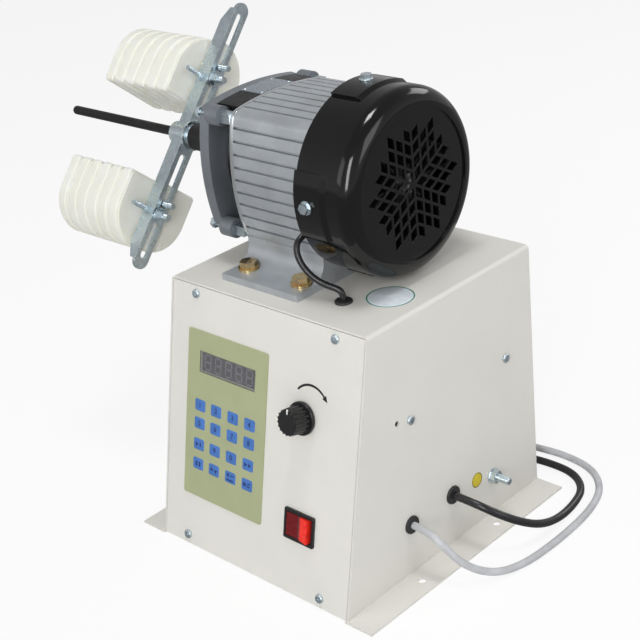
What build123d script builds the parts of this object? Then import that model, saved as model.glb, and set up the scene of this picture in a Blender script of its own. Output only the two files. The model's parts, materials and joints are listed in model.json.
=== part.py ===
from build123d import *

import os
from math import atan2, cos, hypot, radians, sin, sqrt, tan

# Wire coil winding machine: a brake motor on a sheet-steel control cabinet drives a
# slotted arm that carries two grooved half-round formers. Millimetres. The origin is on
# the bench, under the motor axis at mid cabinet; +X runs along the motor axis towards
# the fan cover, +Y to the back, +Z up.

# ---------------------------------------------------------------- driving dimensions
# Cabinet
cabinet_width = 207.0
cabinet_height = 215.4
top_front_y = -97.0
foot_front_y = -145.8
rear_y = 93.0
sheet = 1.5
bend_radius = 3.0
flange_reach = 25.0
flange_front_y = -147.5
lip_depth = 16.0
seam_gap = 0.4
bench_hole_radius = 3.25
bench_hole_x = 116.2
bench_hole_front_y = -74.9
bench_hole_rear_y = 19.5

# Screws
screw_radius = 2.0
screw_hole_clearance = 0.2
screw_head_radius = 3.7
screw_head_height = 2.4
screw_head_round = 1.2
screw_length = 7.0
panel_screw_x = 74.0
panel_screw_inset = 8.3
side_screw_z = 131.7
rail_front_y = -60.0
rail_rear_y = 56.8

# Inside the cabinet
rail_width = 20.0
rail_height = 14.0
tray_margin = 12.0
tray_half_width = cabinet_width / 2 - sheet - tray_margin
board_thickness = 1.6
board_margin = 5.0
chip_pitch_x = 30.0
chip_pitch_y = 26.0
chip_width = 16.0
chip_length = 12.0
chip_height = 9.0
board_width = 100.0
board_length = 76.0
standoff_height = 6.0
standoff_radius = 2.5
transformer_width = 58.0
transformer_depth = 50.0
transformer_height = 48.0
transformer_margin = 8.0
transformer_round = 6.0
winding_share = 2 / 3

# Front panel fittings: places are x and the distance down the slope
keypad_left = -80.7
keypad_right = 8.3
keypad_top = 36.6
keypad_bottom = 175.9
membrane_thickness = 0.8
membrane_corner = 2.0
window_left = -66.9
window_right = -4.5
window_top = 52.8
window_bottom = 70.4
window_ledge = 1.5
display_depth = 12.0
display_margin = 14.0
display_standoff_margin = 6.0
display_frame = 4.0
display_digits = 5
display_clearance = 1.0
knob_x = 46.4
knob_s = 76.1
knob_radius = 13.0
knob_height = 16.0
knob_grip_step = 2.0
knob_round = 0.8
knob_draft = 3.0
knob_nut_clearance = 1.8
knob_skirt = 2.5
knob_gap = 1.0
knob_flutes = 18
flute_radius = 1.1
cap_radius = 8.6
cap_thickness = 0.8
cap_rise = 0.4
cap_round = 0.3
pot_radius = 12.0
pot_depth = 10.0
pot_shaft_radius = 3.0
pot_bush_radius = 5.0
pot_bush_reach = 6.0
pot_nut_flats = 14.0
pot_nut_height = 2.5
pot_terminal_ratio = 1.4
switch_x = 49.55
switch_s = 162.85
bezel_width = 31.0
bezel_height = 25.0
bezel_thickness = 2.0
bezel_corner = 1.5
bezel_round = 0.6
terminal_pitch = 8.0
terminal_thickness = 0.8
terminal_width = 4.8
terminal_length = 8.0
switch_box_width = 27.6
switch_box_height = 21.4
switch_box_depth = 16.0
rocker_width = 24.0
rocker_height = 18.6
rocker_gap_x = 1.3
rocker_gap_y = 0.5
rocker_tilt = 7.0
rocker_dish = 1.6
rocker_depth = 8.0
rocker_pin_radius = 1.5
rocker_draft = 1.0

# Cabinet side and top fittings
earth_y = 32.7
earth_z = 35.7
earth_radius = 3.0
earth_reach = 18.0
earth_washer_radius = 6.0
earth_washer = 1.2
earth_nut_flats = 10.0
earth_nut = 5.0
earth_inner_nut = 4.0
earth_chamfer = 0.6
side_hole_y = -74.4
side_hole_z = 135.3
side_hole_radius = 2.2
mains_exit_y = -17.5
pedal_exit_y = -67.7
cord_exit_z = 43.7
grommet_lip = 2.0
grommet_wall = 2.2
grommet_round = 1.2
top_grommet_x = 49.0
top_grommet_y = -62.0

# Motor
axis_rise = 75.6
axis_z = cabinet_height + axis_rise
housing_left = -61.0
housing_right = 20.0
housing_corner = 51.0
housing_side = 58.7
housing_top = 56.0
housing_corner_radius = 8.0
groove_pitch = 10.0
groove_width = 2.0
groove_depth = 2.6
grooves_each_way = 4
foot_half_width = 81.5
foot_thickness = 5.6
pedestal_half_width = 50.0
pedestal_blend = 16.0
pedestal_overlap = 4.0
foot_bolt_y = 64.0
foot_bolt_left_x = -49.0
foot_bolt_right_x = 8.0
foot_bolt_radius = 4.0
foot_bolt_clearance = 0.3
foot_bolt_washer_radius = 8.4
foot_bolt_washer = 1.6
foot_bolt_head = 5.0
foot_bolt_tail = 10.0
foot_bolt_nut = 6.0
foot_bolt_relief = 1.0
foot_bolt_flats = 12.0
stator_radius = 47.5
stator_bore = 28.2
rotor_gap = 0.5
core_left = -42.0
core_right = 2.0
overhang = 8.0
winding_step = 2.0
winding_inset = 4.0
winding_bore_step = 3.0
shaft_radius = 7.5
running_clearance = 0.04
bearing_radius = 17.5
bearing_width = 11.0
bearing_shoulder = 1.0
shield_thickness = 7.0
shield_rim = 4.0
shield_rim_step = 5.0
shaft_relief = 2.0
shield_boss_radius = 22.0

# Brake and front plate
plate_left = -96.0
plate_thickness = 11.0
plate_chamfer = 1.0
edge_chamfer = 0.8
plate_boss_radius = 8.0
plate_boss_height = 13.0
post_y = 50.0
post_z = 46.0
post_side = 8.0
tie_bolt_radius = 2.5
tie_bolt_flats = 8.0
tie_bolt_head = 3.5
guard_thickness = 2.0
guard_half_width = 42.0
brake_radius = 46.0
brake_length = 18.0
brake_round = 1.2
brake_groove_depth = 1.5
brake_groove_outer = 12.0
brake_groove_inner = 18.0
brake_bore = 14.0
brake_gap = 0.5
armature_radius = 42.0
armature_thickness = 4.0
nameplate_width = 24.0
nameplate_length = 35.0
nameplate_thickness = 0.6

# Fan and cover
cover_left = 20.5
cover_radius = 72.0
cover_wall = 2.5
cover_edge_x = 3.5
cover_edge_drop = 4.2
cover_inner_edge_x = 6.0
cover_inner_edge_drop = 4.4
cover_hole_inset = 5.0
cover_hole_depth = 20.0
cover_shoulder_x = 60.0
cover_face_x = 73.5
cover_face_radius = 59.5
grille_radius = 58.0
grille_recess = 1.5
grille_thickness = 2.2
grille_step = 2.0
grille_pitch = 10.2
grille_rib = 2.2
grille_reach = 45.0
pad_half_angle = 20.0
pad_rise = 2.2
pad_root = 1.0
pad_slope = 6.0
cover_washer_step = 1.6
cover_washer = 1.0
cover_screw_head = 3.5
cover_screw_length = 14.0
pad_end_x = 52.0
cover_screw_x = 33.0
cover_screw_quarters = (0, 1, 2)
lug_width = 14.0
lug_end_x = 42.0
lug_clearance = 0.2
cooling_fan_left = 46.0
cooling_fan_right = 64.0
cooling_fan_radius = 60.0
fan_hub_radius = 14.0
fan_disc = 2.0
fan_disc_step = 16.0
blade_root = 1.0
shaft_end_reach = 3.0
fan_blades = 8
blade_thickness = 2.0

# Output, arm and formers
collar_radius = 11.5
collar_right = -97.0
collar_left = -166.0
hub_left = -192.0
hub_radius = 9.5
hub_flange_radius = 13.0
hub_flange_thickness = 3.0
hub_socket_left = -176.0
rod_radius = 4.0
rod_tip_x = -333.0
rod_tip_round = 3.6
rod_spigot_radius = 3.0
rod_relief = 0.5
arm_angle = 50.0
arm_left = -175.0
arm_gauge = 2.5
arm_length = 243.0
arm_low_v = -8.0
arm_high_v = 7.8
arm_rib_length = 228.0
arm_rib_left = -185.0
arm_corner_u = 12.0
arm_corner_x = 6.0
slot_inner = 18.0
slot_margin = 9.5
slot_outer = arm_length / 2 - slot_margin
slot_width = 6.5
slide_clearance = 0.3
former_length = 93.0
former_depth = 60.0
former_half_width = 33.0
former_straight = 28.0
former_corner = 3.0
upper_former_u = 24.5
lower_former_u = 46.0
former_bolt_offset = 27.5
stud_offset = 10.5
land_count = 7
former_groove = 4.0
former_groove_depth = 1.8
land_round = 1.7
rabbet_left = -187.5
rabbet_v = 5.0
clamp_radius = 3.0
clamp_reach = 12.0
clamp_washer_radius = 7.0
clamp_washer = 1.2
clamp_nut_flats = 10.0
clamp_nut = 5.0
clamp_head_radius = 5.0
clamp_head_clearance = 0.6
clamp_head_recess = 1.0
clamp_head = 6.0
stud_radius = 2.5
stud_reach = 12.0
stud_depth = 12.0
jam_radius = 2.0
jam_reach = 18.0
jam_nut_flats = 7.0
jam_nut = 3.0
jam_x = -180.0
jam_upper_u = 49.6
jam_lower_u = -72.0

# Cords
motor_lead_diameter = 5.0
gland_wall = 1.2
gland_length = 4.5
mains_diameter = 6.5
pedal_diameter = 6.0
run_share = 0.45
turn_gap = 1.6
mains_coil_x = -142.0
mains_coil_start_y = 103.8
mains_coil_inner = 27.5
pedal_coil_x = -25.0
pedal_coil_start_y = 122.5
pedal_coil_inner = 25.5
half_turns_in = 5
half_turns_out = 6
coil_tail = 22.0
plug_boot = 26.0
plug_length = 34.0
plug_boot_wall = 1.3
plug_boot_flare = 3.2
plug_corner = 5.0
plug_round = 2.0
plug_half_width = 12.0
plug_pin_length = 18.0
plug_pin_radius = 2.4
plug_pin_spacing = 12.7
connector_boot = 12.0
connector_length = 26.0
connector_boot_wall = 1.2
connector_boot_flare = 3.0
connector_socket_radius = 6.5
connector_socket_depth = 8.0

# ---------------------------------------------------------------- derived places
half_width = cabinet_width / 2
inner_half = half_width - sheet
lean = atan2(top_front_y - foot_front_y, cabinet_height)
slope_length = hypot(top_front_y - foot_front_y, cabinet_height)
panel_top = sheet / cos(lean) + seam_gap
panel_bottom = slope_length - seam_gap - sheet * tan(lean)
panel_plane = Plane(
    origin=(0, top_front_y, cabinet_height),
    x_dir=(1, 0, 0),
    z_dir=(0, -cos(lean), sin(lean)),
)
panel_screw_points = [
    (side * panel_screw_x, -s)
    for side in (-1, 1)
    for s in (panel_screw_inset, slope_length - panel_screw_inset)
]
rail_bottom_z = side_screw_z - rail_height / 2
tray_z = rail_bottom_z + rail_height
motor_axis = Axis((0, 0, axis_z), (1, 0, 0))
plate_right = plate_left + plate_thickness
arm_right = arm_left + arm_gauge
former_right = arm_left - slide_clearance
former_left = former_right - former_length
arm_u = Vector(0, cos(radians(arm_angle)), sin(radians(arm_angle)))
arm_v = Vector(0, -sin(radians(arm_angle)), cos(radians(arm_angle)))
mains_radius = mains_diameter / 2
pedal_radius = pedal_diameter / 2
grommet_face_x = half_width + grommet_lip
screw_hole_radius = screw_radius + screw_hole_clearance

os.makedirs("parts", exist_ok=True)


def front_y(z):
    """Where the leaning front stands at a height."""
    return foot_front_y + z * tan(lean)


def finish(built, label):
    """Name a finished piece and write it."""
    built.part.label = label
    export_step(built.part, f"parts/{label}.step")


def across(x):
    """Plane square to the motor axis, seen with +Y to the right and +Z up."""
    return Plane(origin=(x, 0, axis_z), x_dir=(0, 1, 0), z_dir=(1, 0, 0))


def arm_plane(x, side=1):
    """Plane square to the motor axis, its X along the arm."""
    return Plane(origin=(x, 0, axis_z), x_dir=arm_u * side, z_dir=(1, 0, 0))


def radial_plane(quarter, radius):
    """Plane square to a radius of the motor at one of its four cover screws."""
    turn = radians(90 * quarter)
    return Plane(
        origin=(cover_screw_x, radius * cos(turn), axis_z + radius * sin(turn)),
        x_dir=(1, 0, 0),
        z_dir=(0, cos(turn), sin(turn)),
    )


def disc(start_x, end_x, radius, bore=0.0, mode=Mode.ADD):
    """Round stock on the motor axis."""
    with BuildSketch(across(start_x)) as ring:
        Circle(radius)
        if bore > 0:
            Circle(bore, mode=Mode.SUBTRACT)
    extrude(ring.sketch, amount=end_x - start_x, mode=mode)


def pan_screws(plane, points, head_radius=screw_head_radius, length=screw_length):
    """Pan-head screws seated on a plane."""
    with BuildSketch(plane) as heads:
        with Locations(*points):
            Circle(head_radius)
    with BuildSketch(plane) as shanks:
        with Locations(*points):
            Circle(screw_radius)
    head = extrude(heads.sketch, amount=screw_head_height)
    fillet(head.edges().group_by(Axis(plane.origin, plane.z_dir))[-1], screw_head_round)
    extrude(shanks.sketch, amount=-length)


def holes(plane, points, radius, depth):
    """Round holes from a plane to a depth on each side of it."""
    with BuildSketch(plane) as circles:
        with Locations(*points):
            Circle(radius)
    extrude(circles.sketch, amount=depth, both=True, mode=Mode.SUBTRACT)


# ---------------------------------------------------------------- cabinet
side_plane = Plane(origin=(half_width, 0, 0), x_dir=(0, 1, 0), z_dir=(1, 0, 0))
left_plane = Plane(origin=(-half_width, 0, 0), x_dir=(0, -1, 0), z_dir=(-1, 0, 0))
top_plane = Plane.XY.offset(cabinet_height)
rear_plane = Plane(origin=(0, rear_y, 0), x_dir=(-1, 0, 0), z_dir=(0, 1, 0))
rear_screw_points = [
    (side * panel_screw_x, z)
    for side in (-1, 1)
    for z in (panel_screw_inset, cabinet_height - panel_screw_inset)
]
side_screw_points = [(rail_front_y, side_screw_z), (rail_rear_y, side_screw_z)]
left_screw_points = [(-y, z) for y, z in side_screw_points]
foot_bolt_points = [
    (x, side * foot_bolt_y) for x in (foot_bolt_left_x, foot_bolt_right_x) for side in (-1, 1)
]
mains_grommet_hole = mains_radius + grommet_wall
pedal_grommet_hole = pedal_radius + grommet_wall
top_grommet_hole = motor_lead_diameter / 2 + grommet_wall


def arch(width, height, radius):
    """Upright rectangle on the local X axis with its two top corners rounded."""
    with BuildSketch() as outline:
        Rectangle(width, height, align=(Align.CENTER, Align.MIN))
        fillet(outline.vertices().group_by(Axis.Y)[-1], radius)
    return outline.sketch


with BuildPart() as cabinet_cover:
    with BuildSketch(Plane.XZ.offset(-rear_y)):
        add(arch(cabinet_width, cabinet_height, bend_radius))
        add(arch(2 * inner_half, cabinet_height - sheet, bend_radius - sheet), mode=Mode.SUBTRACT)
        for side in (-1, 1):
            with Locations((side * (inner_half + half_width + flange_reach) / 2, sheet / 2)):
                Rectangle(flange_reach + sheet, sheet)
    extrude(amount=rear_y - flange_front_y)
    with BuildSketch(Plane.YZ):
        with BuildLine():
            Polyline(
                (flange_front_y - 1, sheet),
                (front_y(sheet), sheet),
                (front_y(cabinet_height + 1), cabinet_height + 1),
                (flange_front_y - 1, cabinet_height + 1),
                close=True,
            )
        make_face()
    extrude(amount=half_width + flange_reach + 1, both=True, mode=Mode.SUBTRACT)
    with BuildSketch(panel_plane.offset(-sheet)):
        with Locations((0, -lip_depth / 2)):
            Rectangle(2 * (half_width - lip_depth), lip_depth)
    extrude(amount=-sheet)
    with BuildSketch(rear_plane.offset(-sheet)):
        with Locations((0, cabinet_height - lip_depth / 2)):
            Rectangle(2 * (half_width - lip_depth), lip_depth)
    extrude(amount=-sheet)
    holes(panel_plane, panel_screw_points, screw_hole_radius, 2 * sheet)
    holes(rear_plane, rear_screw_points, screw_hole_radius, 2 * sheet)
    holes(side_plane, side_screw_points, screw_hole_radius, 2 * sheet)
    holes(left_plane, left_screw_points, screw_hole_radius, 2 * sheet)
    holes(side_plane, [(side_hole_y, side_hole_z)], side_hole_radius, 2 * sheet)
    holes(side_plane, [(earth_y, earth_z)], earth_radius + screw_hole_clearance, 2 * sheet)
    holes(side_plane, [(mains_exit_y, cord_exit_z)], mains_grommet_hole, 2 * sheet)
    holes(side_plane, [(pedal_exit_y, cord_exit_z)], pedal_grommet_hole, 2 * sheet)
    holes(top_plane, foot_bolt_points, foot_bolt_radius + foot_bolt_clearance, 2 * sheet)
    holes(top_plane, [(top_grommet_x, top_grommet_y)], top_grommet_hole, 2 * sheet)
    bench_points = [
        (side * bench_hole_x, y)
        for side in (-1, 1)
        for y in (bench_hole_front_y, bench_hole_rear_y)
    ]
    holes(Plane.XY, bench_points, bench_hole_radius, 2 * sheet)
finish(cabinet_cover, "cabinet_cover")

window_x = (window_left + window_right) / 2
window_s = (window_top + window_bottom) / 2
window_width = window_right - window_left
window_height = window_bottom - window_top

with BuildPart() as front_panel:
    with BuildSketch(panel_plane.offset(-sheet)):
        with Locations((0, -(panel_top + panel_bottom) / 2)):
            Rectangle(2 * (inner_half - seam_gap), panel_bottom - panel_top)
        with Locations((window_x, -window_s)):
            Rectangle(window_width - 2 * window_ledge, window_height - 2 * window_ledge, mode=Mode.SUBTRACT)
        with Locations((switch_x, -switch_s)):
            Rectangle(switch_box_width + seam_gap, switch_box_height + seam_gap, mode=Mode.SUBTRACT)
        with Locations((knob_x, -knob_s)):
            Circle(pot_bush_radius + screw_hole_clearance, mode=Mode.SUBTRACT)
        with Locations(*panel_screw_points):
            Circle(screw_hole_radius, mode=Mode.SUBTRACT)
    extrude(amount=sheet)
finish(front_panel, "front_panel")

with BuildPart() as rear_panel:
    with BuildSketch(rear_plane.offset(-sheet)):
        with Locations((0, (cabinet_height - sheet) / 2)):
            Rectangle(2 * (inner_half - seam_gap), cabinet_height - sheet - 2 * seam_gap)
        with Locations(*rear_screw_points):
            Circle(screw_hole_radius, mode=Mode.SUBTRACT)
    extrude(amount=sheet)
finish(rear_panel, "rear_panel")

base_front_y = front_y(sheet) + sheet / cos(lean)
base_rear_y = rear_y - sheet

with BuildPart() as base_plate:
    with BuildSketch(Plane.XY):
        with Locations((0, (base_front_y + base_rear_y) / 2)):
            Rectangle(2 * inner_half, base_rear_y - base_front_y)
    extrude(amount=sheet)
    with BuildSketch(panel_plane.offset(-sheet)):
        with Locations((0, lip_depth / 2 - slope_length + seam_gap)):
            Rectangle(2 * (half_width - lip_depth), lip_depth)
    extrude(amount=-sheet)
    with BuildSketch(rear_plane.offset(-sheet)):
        with Locations((0, lip_depth / 2)):
            Rectangle(2 * (half_width - lip_depth), lip_depth)
    extrude(amount=-sheet)
    for side in (-1, 1):
        with BuildSketch(Plane.XY):
            with Locations((side * (inner_half - sheet / 2), (front_y(lip_depth) + base_rear_y) / 2)):
                Rectangle(sheet, base_rear_y - front_y(lip_depth) - 2 * lip_depth)
        extrude(amount=lip_depth)
    holes(panel_plane, panel_screw_points, screw_hole_radius, 2 * sheet)
    holes(rear_plane, rear_screw_points, screw_hole_radius, 2 * sheet)
    split(bisect_by=Plane.XY, keep=Keep.TOP)
finish(base_plate, "base_plate")

with BuildPart() as panel_screws:
    pan_screws(panel_plane, panel_screw_points)
finish(panel_screws, "panel_screws")

with BuildPart() as rear_screws:
    pan_screws(rear_plane, rear_screw_points)
finish(rear_screws, "rear_screws")

with BuildPart() as side_screws:
    pan_screws(side_plane, side_screw_points)
    pan_screws(left_plane, left_screw_points)
finish(side_screws, "side_screws")

# ---------------------------------------------------------------- inside the cabinet
with BuildPart() as cross_rails:
    for rail_y in (rail_front_y, rail_rear_y):
        with BuildSketch(Plane.XY.offset(rail_bottom_z)):
            with Locations((0, rail_y)):
                Rectangle(2 * inner_half, rail_width)
        extrude(amount=rail_height)
        with BuildSketch(Plane.XY.offset(rail_bottom_z)):
            with Locations((0, rail_y)):
                Rectangle(2 * (inner_half - sheet), rail_width - 2 * sheet)
        extrude(amount=rail_height - sheet, mode=Mode.SUBTRACT)
    holes(side_plane, side_screw_points, screw_hole_radius, 2 * sheet + 1)
    holes(left_plane, left_screw_points, screw_hole_radius, 2 * sheet + 1)
finish(cross_rails, "cross_rails")

with BuildPart() as electronics_tray:
    with BuildSketch(Plane.XY.offset(tray_z)):
        with Locations((0, (rail_front_y + rail_rear_y) / 2)):
            Rectangle(2 * tray_half_width, rail_rear_y - rail_front_y + rail_width)
    extrude(amount=sheet)
finish(electronics_tray, "electronics_tray")

transformer_x = tray_half_width - transformer_width / 2 - transformer_margin
tray_top = tray_z + sheet

with BuildPart() as transformer:
    with BuildSketch(Plane.XY.offset(tray_top)):
        with Locations((transformer_x, rail_rear_y - transformer_depth / 2)):
            Rectangle(transformer_width, transformer_depth / 2)
    extrude(amount=transformer_height)
    with BuildSketch(Plane.XY.offset(tray_top + transformer_height * (1 - winding_share) / 2)):
        with Locations((transformer_x, rail_rear_y - transformer_depth / 2)):
            RectangleRounded(transformer_width * winding_share, transformer_depth, transformer_round)
    extrude(amount=transformer_height * winding_share)
finish(transformer, "transformer")

board_x = -tray_half_width + board_width / 2 + board_margin
board_y = (rail_front_y + rail_rear_y) / 2

with BuildPart() as control_board:
    with BuildSketch(Plane.XY.offset(tray_top)):
        with Locations((board_x, board_y)):
            with GridLocations(board_width - 2 * board_margin, board_length - 2 * board_margin, 2, 2):
                Circle(standoff_radius)
    extrude(amount=standoff_height)
    with BuildSketch(Plane.XY.offset(tray_top + standoff_height)):
        with Locations((board_x, board_y)):
            Rectangle(board_width, board_length)
    extrude(amount=board_thickness)
    with BuildSketch(Plane.XY.offset(tray_top + standoff_height + board_thickness)):
        with Locations((board_x, board_y)):
            with GridLocations(chip_pitch_x, chip_pitch_y, 3, 2):
                Rectangle(chip_width, chip_length)
    extrude(amount=chip_height)
finish(control_board, "control_board")

keypad_x = (keypad_left + keypad_right) / 2
keypad_s = (keypad_top + keypad_bottom) / 2
keypad_width = keypad_right - keypad_left
keypad_length = keypad_bottom - keypad_top

with BuildPart() as keypad_membrane:
    with BuildSketch(panel_plane):
        with Locations((keypad_x, -keypad_s)):
            RectangleRounded(keypad_width, keypad_length, membrane_corner)
        with Locations((window_x, -window_s)):
            Rectangle(window_width, window_height, mode=Mode.SUBTRACT)
    extrude(amount=membrane_thickness)
finish(keypad_membrane, "keypad_membrane")

with BuildPart() as display_window:
    with BuildSketch(panel_plane):
        with Locations((window_x, -window_s)):
            Rectangle(window_width, window_height)
    extrude(amount=membrane_thickness)
finish(display_window, "display_window")

digit_width = (window_width - display_frame) / display_digits

with BuildPart() as display_board:
    with BuildSketch(panel_plane.offset(-sheet - display_depth)):
        with Locations((window_x, -window_s)):
            Rectangle(window_width + display_margin, window_height + display_margin)
    extrude(amount=-board_thickness)
    with BuildSketch(panel_plane.offset(-sheet - display_depth)):
        with Locations((window_x, -window_s)):
            with GridLocations(
                window_width + display_standoff_margin, window_height + display_standoff_margin, 2, 2
            ):
                Circle(standoff_radius)
    extrude(amount=display_depth)
    with BuildSketch(panel_plane.offset(-sheet - display_depth)):
        with Locations((window_x, -window_s)):
            with GridLocations(digit_width, 1, display_digits, 1):
                Rectangle(digit_width, window_height - 2 * window_ledge - display_clearance)
    extrude(amount=display_depth)
finish(display_board, "display_board")

# ---------------------------------------------------------------- speed control
knob_plane = Plane(
    origin=panel_plane.from_local_coords((knob_x, -knob_s, 0)),
    x_dir=panel_plane.x_dir,
    z_dir=panel_plane.z_dir,
)
pot_shaft_end = knob_gap + knob_height - 2 * cap_thickness

with BuildPart() as pot_body:
    with BuildSketch(knob_plane.offset(-sheet - pot_depth)):
        Circle(pot_radius)
        with Locations((0, -pot_radius)):
            Rectangle(pot_radius * pot_terminal_ratio, pot_radius)
    extrude(amount=pot_depth)
    with BuildSketch(knob_plane.offset(-sheet)):
        Circle(pot_bush_radius)
    extrude(amount=sheet + pot_bush_reach)
    with BuildSketch(knob_plane.offset(-sheet - pot_depth / 2)):
        Circle(pot_shaft_radius + running_clearance)
    extrude(amount=pot_depth + pot_bush_reach, mode=Mode.SUBTRACT)
finish(pot_body, "pot_body")

with BuildPart() as pot_nut:
    with BuildSketch(knob_plane):
        RegularPolygon(pot_nut_flats / 2, 6, major_radius=False)
        Circle(pot_bush_radius, mode=Mode.SUBTRACT)
    extrude(amount=pot_nut_height)
finish(pot_nut, "pot_nut")

with BuildPart() as pot_shaft:
    with BuildSketch(knob_plane.offset(-sheet - pot_depth / 2 + slide_clearance)):
        Circle(pot_shaft_radius)
    extrude(amount=sheet + pot_depth / 2 - slide_clearance + pot_shaft_end)
finish(pot_shaft, "pot_shaft")

grip_radius = knob_radius - knob_grip_step

with BuildPart() as speed_knob:
    with BuildSketch(knob_plane.offset(knob_gap)):
        Circle(knob_radius)
    extrude(amount=knob_skirt)
    fillet(edges().group_by(Axis(knob_plane.origin, knob_plane.z_dir))[-1], knob_round)
    with BuildSketch(knob_plane.offset(knob_gap + knob_skirt)):
        Circle(grip_radius)
        with PolarLocations(grip_radius, knob_flutes):
            Circle(flute_radius, mode=Mode.SUBTRACT)
    extrude(amount=knob_height - knob_skirt, taper=knob_draft)
    with BuildSketch(knob_plane.offset(knob_gap)):
        Circle(pot_nut_flats / 2 + knob_nut_clearance)
    extrude(amount=pot_bush_reach, mode=Mode.SUBTRACT)
    with BuildSketch(knob_plane.offset(knob_gap)):
        Circle(pot_shaft_radius)
    extrude(amount=pot_shaft_end - knob_gap, mode=Mode.SUBTRACT)
    with BuildSketch(knob_plane.offset(knob_gap + knob_height)):
        Circle(cap_radius)
    extrude(amount=-cap_thickness, mode=Mode.SUBTRACT)
finish(speed_knob, "speed_knob")

with BuildPart() as knob_cap:
    with BuildSketch(knob_plane.offset(knob_gap + knob_height - cap_thickness)):
        Circle(cap_radius)
    extrude(amount=cap_thickness + cap_rise)
    fillet(edges().group_by(Axis(knob_plane.origin, knob_plane.z_dir))[-1], cap_round)
finish(knob_cap, "knob_cap")

# ---------------------------------------------------------------- power switch
switch_plane = Plane(
    origin=panel_plane.from_local_coords((switch_x, -switch_s, 0)),
    x_dir=panel_plane.x_dir,
    z_dir=panel_plane.z_dir,
)
rocker_pivot_depth = bezel_thickness - rocker_depth / 2
rocker_opening_width = rocker_width + 2 * rocker_gap_x
rocker_opening_height = rocker_height + 2 * rocker_gap_y
switch_cavity_depth = switch_box_depth - 2 * sheet

with BuildPart() as switch_body:
    with BuildSketch(switch_plane):
        RectangleRounded(bezel_width, bezel_height, bezel_corner)
    extrude(amount=bezel_thickness)
    fillet(edges().group_by(Axis(switch_plane.origin, switch_plane.z_dir))[-1], bezel_round)
    with BuildSketch(switch_plane):
        Rectangle(switch_box_width, switch_box_height)
    extrude(amount=-switch_box_depth)
    with BuildSketch(switch_plane.offset(bezel_thickness)):
        Rectangle(rocker_opening_width, rocker_opening_height)
    extrude(amount=-bezel_thickness - switch_cavity_depth, mode=Mode.SUBTRACT)
    with BuildSketch(Plane(origin=switch_plane.origin, x_dir=switch_plane.x_dir, z_dir=-switch_plane.y_dir)):
        with Locations((0, rocker_pivot_depth)):
            Circle(rocker_pin_radius + running_clearance)
    extrude(amount=switch_box_height / 2, both=True, mode=Mode.SUBTRACT)
    with BuildSketch(switch_plane.offset(-switch_box_depth)):
        with GridLocations(terminal_pitch, 1, 3, 1):
            Rectangle(terminal_thickness, terminal_width)
    extrude(amount=-terminal_length)
finish(switch_body, "switch_body")

rocker_turn = radians(rocker_tilt)
rocker_plane = Plane(
    origin=switch_plane.from_local_coords((0, 0, rocker_pivot_depth)),
    x_dir=switch_plane.x_dir * cos(rocker_turn) + switch_plane.z_dir * sin(rocker_turn),
    z_dir=-switch_plane.y_dir,
)
rocker_top = bezel_thickness - rocker_pivot_depth + rocker_dish

with BuildPart() as switch_rocker:
    with BuildSketch(rocker_plane):
        with BuildLine():
            Polyline(
                (-rocker_width / 2, rocker_top),
                (0, rocker_top - rocker_dish),
                (rocker_width / 2, rocker_top),
                (rocker_width / 2 - rocker_draft, 0),
                (rocker_width / 4, -rocker_depth / 2),
                (-rocker_width / 4, -rocker_depth / 2),
                (rocker_draft - rocker_width / 2, 0),
                close=True,
            )
        make_face()
    extrude(amount=rocker_height / 2, both=True)
    with BuildSketch(rocker_plane):
        Circle(rocker_pin_radius)
    extrude(amount=switch_box_height / 2 - running_clearance, both=True)
finish(switch_rocker, "switch_rocker")

# ---------------------------------------------------------------- side and top fittings
with BuildPart() as earth_stud:
    with BuildSketch(side_plane.offset(-sheet)):
        with Locations((earth_y, earth_z)):
            RegularPolygon(earth_nut_flats / 2, 6, major_radius=False)
    extrude(amount=-earth_inner_nut)
    with BuildSketch(side_plane.offset(-sheet)):
        with Locations((earth_y, earth_z)):
            Circle(earth_radius)
    extrude(amount=sheet + earth_reach)
    with BuildSketch(side_plane):
        with Locations((earth_y, earth_z)):
            Circle(earth_washer_radius)
    extrude(amount=earth_washer)
    with BuildSketch(side_plane.offset(earth_washer)):
        with Locations((earth_y, earth_z)):
            RegularPolygon(earth_nut_flats / 2, 6, major_radius=False)
    extrude(amount=earth_nut)
    chamfer(faces().sort_by(Axis.X)[-1].edges(), earth_chamfer)
finish(earth_stud, "earth_stud")


def grommet(plane, point, cord_radius):
    """Blind rubber grommet in a sheet: a lip on each face and a waist in the hole."""
    with BuildSketch(plane) as lip:
        with Locations(point):
            Circle(cord_radius + 2 * grommet_wall)
    with BuildSketch(plane) as waist:
        with Locations(point):
            Circle(cord_radius + grommet_wall)
    rim = extrude(lip.sketch, amount=grommet_lip)
    fillet(rim.edges().group_by(Axis(plane.origin, plane.z_dir))[-1], grommet_round)
    extrude(waist.sketch, amount=-sheet)
    with BuildSketch(plane.offset(-sheet)) as back:
        with Locations(point):
            Circle(cord_radius + 2 * grommet_wall)
    extrude(back.sketch, amount=-grommet_lip)


with BuildPart() as side_grommets:
    grommet(side_plane, (mains_exit_y, cord_exit_z), mains_radius)
    grommet(side_plane, (pedal_exit_y, cord_exit_z), pedal_radius)
finish(side_grommets, "side_grommets")

with BuildPart() as top_grommet:
    grommet(top_plane, (top_grommet_x, top_grommet_y), motor_lead_diameter / 2)
finish(top_grommet, "top_grommet")


# ---------------------------------------------------------------- motor housing
def housing_outline():
    """Rounded square of the motor: bowed sides and top, small corner radii."""
    corner = housing_corner
    with BuildSketch() as outline:
        with BuildLine():
            ThreePointArc((corner, -corner), (housing_side, 0), (corner, corner))
            ThreePointArc((corner, corner), (0, housing_top), (-corner, corner))
            ThreePointArc((-corner, corner), (-housing_side, 0), (-corner, -corner))
            ThreePointArc((-corner, -corner), (0, -housing_top), (corner, -corner))
        make_face()
        fillet(outline.vertices(), housing_corner_radius)
    return outline.sketch


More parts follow.
